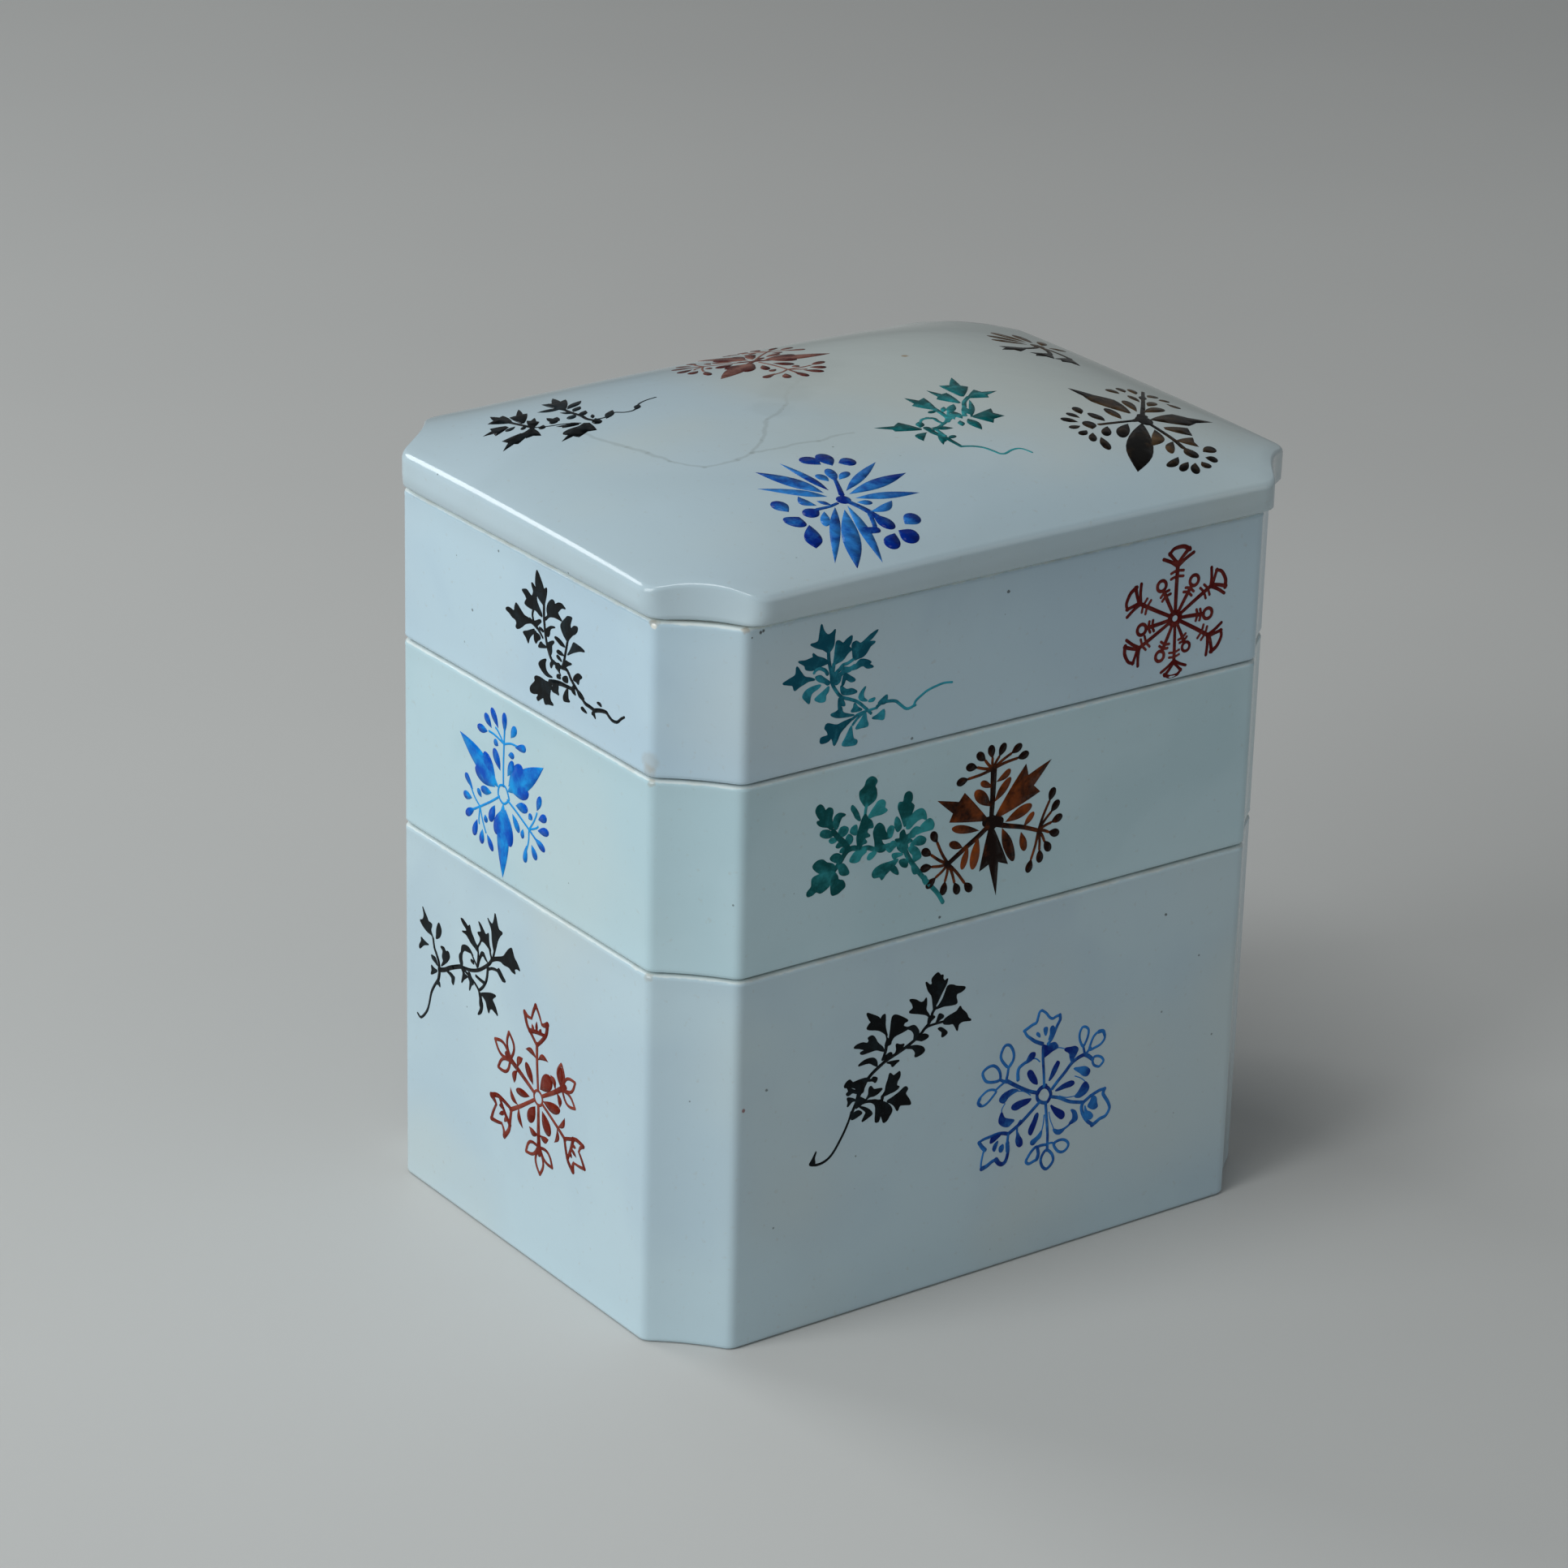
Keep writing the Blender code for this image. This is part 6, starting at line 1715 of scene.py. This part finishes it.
lid_brown_roundel = [
    blade((41.4, -26.9), (28.9, -41.3), 4.5, 0.6, shade=(0.9, 1)),
    leaf((42.2, -22.6), (40, -8.5), (44.3, -15.8), (39.1, -16), notch=0.93, bow=0.12, shade=(0.4, 0.9)),
    leaf((44.2, -25.9), (57.4, -26.3), (51, -23.2), (50, -28.9), notch=0.9, bow=0.08, shade=(0.6, 0.9)),
    drop((43.6, -23.6), (41.7, -28), 2.9, 0.5, shade=(1, 1)),
    line((43.8, -24), (42, -25.4), (40.3, -25.9), width=1.8, end_width=0.8, shade=(1, 0.9)),
    line((41, -25.8), (37, -25.9), (33, -25.9), width=0.7, shade=(0.9, 0.5)),
    line((42.5, -27.5), (42.5, -31), (42.5, -34), (42.2, -36.8), width=0.8, end_width=0.9,
         shade=(0.9, 0.7)),
    line((43.6, -24.2), (46.5, -20.8), (50, -16.6), (55.4, -10), width=0.8, end_width=0.5,
         shade=(1, 0.7)),
    drop((30.5, -27.2), (31.8, -24), 2.3, 0.55),
    drop((42.6, -36.8), (42.2, -40.2), 2.4, 0.55),
    blade((50.4, -15.8), (53, -13), 1.3, shade=(0.9, 0.8)),
    drop((32.9, -21.1), (34.2, -17.8), 1.7),
    drop((31.5, -22.5), (30.8, -19.8), 1.4),
    drop((30, -24), (28.1, -21.6), 1.8),
    drop((29.3, -25.4), (26.9, -25.6), 1.3),
    drop((29.2, -27.3), (26.9, -28.5), 1.4),
    drop((29.6, -28.4), (27.4, -31.2), 1.3),
    drop((29.9, -30.2), (28.2, -34.4), 1.6),
    drop((39.2, -39.2), (35.2, -41.3), 1.4, 0.6, 0.3),
    drop((40, -40.9), (36.8, -42.9), 1.3),
    drop((41.1, -41.4), (38.9, -44.1), 1.5),
    drop((42.5, -41.3), (42.6, -43.3), 1.8),
    drop((44.1, -40.3), (45.8, -41.6), 2.0),
    drop((45, -38.6), (48.2, -37.5), 2.0, 0.6, -0.2),
    drop((35, -24.9), (34.6, -20.9), 1.9, 0.5, shade=(0.6, 0.9)),
    drop((33.9, -26.9), (31, -30.1), 1.6),
    drop((41.9, -34.5), (38.6, -38), 1.5, 0.6, -0.3, shade=(0.7, 0.3)),
    leaf((42.9, -34.4), (46.9, -33.6), (45.5, -37), notch=0.9, shade=(0.4, 0.4)),
    drop((38.4, -26.8), (33.4, -31.3), 2.1, 0.6, -0.2, shade=(0.9, 0.9)),
    blade((41.7, -29.8), (36.9, -35.1), 2.1, 0.5, 0.8, shade=(0.6, 0.3)),
    drop((38.6, -24.8), (39.3, -19.6), 2.0, 0.55, shade=(0.4, 0.9)),
    drop((44.2, -22), (46.2, -16.2), 1.9, 0.7, shade=(0.3, 0.6)),
    drop((45.4, -22.4), (51.2, -20.4), 2.2, 0.7, shade=(0.5, 0.6)),
    leaf((44, -29.6), (48.9, -29.8), (47.3, -33), notch=1.0, bow=0.12, neck=0.5, shade=(0.4, 0.9)),
    drop((48.9, -19.2), (52.4, -16.8), 1.6, shade=(0.5, 0.5)),
    drop((48.9, -17), (49.6, -13.2), 1.4, shade=(0.5, 0.5)),
    drop((48.2, -12.4), (47.6, -9.6), 2.0, shade=(0.5, 0.7)),
    drop((50.2, -11.4), (51, -8.6), 1.6, shade=(0.4, 0.5)),
    drop((52, -12.2), (53.4, -8.9), 1.6, shade=(0.4, 0.5)),
    drop((53.4, -13.6), (56.4, -12.4), 1.7, shade=(0.4, 0.6)),
    drop((54.6, -15.2), (57, -15), 1.6, shade=(0.4, 0.5)),
    drop((54.8, -17), (55.8, -19.6), 1.7, shade=(0.4, 0.5)),
]
paint("lid_brown_roundel", "cover", lid_shell, TOP, dark_brown_enamel, [lid_brown_roundel])

lid_far_roundel = [
    leaf((50.6, 16.6), (44.4, 15.4), (45.6, 17.8), (47.6, 14.2), notch=0.8, bow=0.05, shade=(0.8, 1)),
    leaf((53.6, 13.4), (48.8, 11.4), (49.2, 13.6), (51.6, 9.8), notch=0.8, bow=0.05, shade=(0.8, 1)),
    leaf((56.2, 11.2), (52, 8), (51.8, 10), (54.2, 5.8), notch=0.8, bow=0.05, shade=(0.8, 1)),
    line((50.6, 16.6), (53.4, 17.6), (55.6, 19.4), width=0.8, shade=(0.9, 0.5)),
    line((53.6, 13.4), (55, 16), (55.6, 19.4), width=0.8, shade=(0.9, 0.5)),
    line((56.2, 11.2), (56.4, 15), (55.6, 19.4), width=0.8, shade=(0.9, 0.5)),
    drop((53.6, 20), (47.8, 22.8), 1.9, shade=(0.3, 0.5)),
    drop((54, 21.4), (49.6, 26.4), 2.1, shade=(0.3, 0.5)),
    drop((55, 22.2), (53, 29.6), 2.2, shade=(0.3, 0.4)),
    drop((56.4, 22), (57.4, 28.8), 2.0, shade=(0.3, 0.4)),
    drop((57.4, 20.6), (60.6, 24.6), 1.8, shade=(0.3, 0.4)),
    drop((57.6, 18.8), (61.2, 18.6), 1.7, shade=(0.3, 0.4)),
    dot((55.6, 19.6), 1.3, shade=(0.7, 0.7)),
]
paint("lid_far_brown_roundel", "cover", lid_shell, TOP, dark_brown_enamel, [lid_far_roundel])

# The hidden sides: the photograph doesn't show them, so the back and the right end carry the
# same sprigs and roundels in other places, as such boxes are painted all round.
BACK = (Vector((-1, 0, 0)), Vector((0, 0, 1)))
RIGHT = (Vector((0, 1, 0)), Vector((0, 0, 1)))
SPRIG_CENTRE = (10, 113)
TEAL_CENTRE = (-29, 113)
FRONT_SPRIG_CENTRE = (-21, 45)
LEFT_SPRIG_CENTRE = (-18, 46)
BROWN_CENTRE = (-2.5, 83)
LEAVES_CENTRE = (-26, 84)
BLUE_CENTRE = (11.3, 30.1)


def moved(kind, centre, place, turn=0, reach=1.0):
    """A drawing brushed again elsewhere: its centre comes to the place, turned in degrees."""
    shift = Vector(place) - Matrix.Rotation(math.radians(turn), 2) @ Vector(centre) * reach
    return (kind, *shift, turn, reach)


def whole_round(centre, count, first, hub_reach=1.0, reach=0.9, between_reach=0.9):
    """A hub with evenly spaced arms around it, and as many of the next kind between them."""
    step = 360 / count
    turns = sorted((first + step * i) % 360 for i in range(count))
    between = sorted((turn + step / 2) % 360 for turn in turns)
    arms = around(0, centre, 0, reach=hub_reach)
    arms += around(1, centre, *turns, reach=reach)
    return arms + around(2, centre, *between, reach=between_reach)


paint("upper_back_black_sprig", "upper", upper_shell, BACK, black_enamel, [upper_left_sprig],
      [moved(0, SPRIG_CENTRE, (28, 113.5), 12)])
paint("upper_back_blue_roundel", "upper", upper_shell, BACK, cobalt_enamel,
      [snow_hub, fan_arm, ring_arm], whole_round((-30, 113.6), 6, 0))
paint("middle_back_teal_sprig", "middle", middle_shell, BACK, green_teal_enamel, [middle_front_sprig],
      [moved(0, LEAVES_CENTRE, (-28, 83.5), 8)])
paint("middle_back_blue_roundel", "middle", middle_shell, BACK, bright_cobalt_enamel,
      [light_hub, lobed_leaf, umbel],
      whole_round((20, 83.5), 3, 90, reach=0.95, between_reach=0.92))
paint("lower_back_brown_roundel", "lower", lower_shell, BACK, brown_enamel, [middle_front_brown],
      [moved(0, BROWN_CENTRE, (-24, 38), 20, 1.05)])
paint("lower_back_black_sprig", "lower", lower_shell, BACK, black_enamel, [lower_front_sprig],
      [moved(0, FRONT_SPRIG_CENTRE, (26, 38), 10)])
paint("upper_right_teal_sprig", "upper", upper_shell, RIGHT, teal_enamel, [upper_front_sprig],
      [moved(0, TEAL_CENTRE, (-4, 113.5), -6)])
paint("middle_right_red_roundel", "middle", middle_shell, RIGHT, brick_red_enamel,
      [red_hub, red_tulip, red_trefoil], whole_round((8, 83.5), 3, 90, hub_reach=0.88))
paint("lower_right_black_sprig", "lower", lower_shell, RIGHT, black_enamel, [lower_left_sprig],
      [moved(0, LEFT_SPRIG_CENTRE, (15, 44), -12)])
paint("lower_right_blue_roundel", "lower", lower_shell, RIGHT, cobalt_enamel,
      [lower_front_blue_roundel], [moved(0, BLUE_CENTRE, (-14, 28), 28, 0.97)])

# The setting: a plain pale floor under the box, a large soft window light on the left, a
# second window far behind it, and weak light from above and from the front to fill the shade.
FLOOR_HALF = 4.0
FLOOR_CLOUD_SIZE = 0.25
FLOOR_ROUGHNESS = 0.7
ROOM_COLOUR = (0.74, 0.77, 0.79, 1)
ROOM_STRENGTH = 0.2
floor_mesh = bpy.data.meshes.new("floor")
floor_corners = [(x * FLOOR_HALF, y * FLOOR_HALF, 0) for x, y in ((-1, -1), (1, -1), (1, 1), (-1, 1))]
floor_mesh.from_pydata(floor_corners, [], [(0, 1, 2, 3)])
floor = bpy.data.objects.new("floor", floor_mesh)
bpy.context.scene.collection.objects.link(floor)
floor_finish = Finish("pale_floor")
floor_cloud = floor_finish.mottle(floor_finish.place(), FLOOR_CLOUD_SIZE, 3.0)
floor_colour = floor_finish.blend(floor_cloud, tone(196, 196, 194), tone(206, 206, 203))
floor_mesh.materials.append(floor_finish.set(Base_Color=floor_colour, Roughness=FLOOR_ROUGHNESS))


def soft_light(name, place, target, size, power, colour):
    """A square lamp of that size at the place, turned to the target."""
    lamp = bpy.data.lights.new(name, "AREA")
    lamp.shape = "SQUARE"
    lamp.size = size
    lamp.energy = power
    lamp.color = colour
    holder = bpy.data.objects.new(name, lamp)
    holder.location = place
    holder.rotation_euler = (Vector(target) - Vector(place)).to_track_quat("-Z", "Y").to_euler()
    bpy.context.scene.collection.objects.link(holder)


middle_of_box = (0, 0, 0.07)
soft_light("window", (-1.25, -0.02, 0.62), middle_of_box, 0.9, 10.2, (0.95, 0.985, 1.0))
soft_light("far_window", (-0.46, 1.11, 0.84), middle_of_box, 0.55, 4.8, (0.96, 0.99, 1.0))
soft_light("skylight", (-0.42, -0.1, 1.3), middle_of_box, 0.5, 3.8, (0.96, 0.99, 1.0))
soft_light("fill", (0.7, -1.1, 0.8), middle_of_box, 1.0, 1.3, (0.98, 0.99, 1.0))
world = bpy.data.worlds.new("studio")
world.use_nodes = True
room_light = world.node_tree.nodes["Background"].inputs
room_light["Color"].default_value = ROOM_COLOUR
room_light["Strength"].default_value = ROOM_STRENGTH
bpy.context.scene.world = world
bpy.context.scene.view_settings.view_transform = "Standard"

# The camera stands where the photograph was taken from. Its place, its two axes and its focal
# length in pixels were solved from the corners of the box in the photograph.
CAMERA_PLACE = Vector((-483.59, -652.89, 407.03)) * MM
CAMERA_RIGHT = Vector((0.81498, -0.57901, 0.02364))
CAMERA_UP = Vector((0.20278, 0.32316, 0.92436))
PHOTO_SIDE = 1932
FOCAL_PIXELS = 6315
SENSOR_WIDTH = 36
camera = bpy.data.cameras.new("camera")
camera.sensor_width = SENSOR_WIDTH
camera.lens = FOCAL_PIXELS * SENSOR_WIDTH / PHOTO_SIDE
camera.clip_start, camera.clip_end = 0.01, 20
viewer = bpy.data.objects.new("camera", camera)
turn = Matrix((CAMERA_RIGHT, CAMERA_UP, CAMERA_RIGHT.cross(CAMERA_UP))).transposed()
viewer.matrix_world = Matrix.Translation(CAMERA_PLACE) @ turn.to_4x4()
bpy.context.scene.collection.objects.link(viewer)
bpy.context.scene.camera = viewer
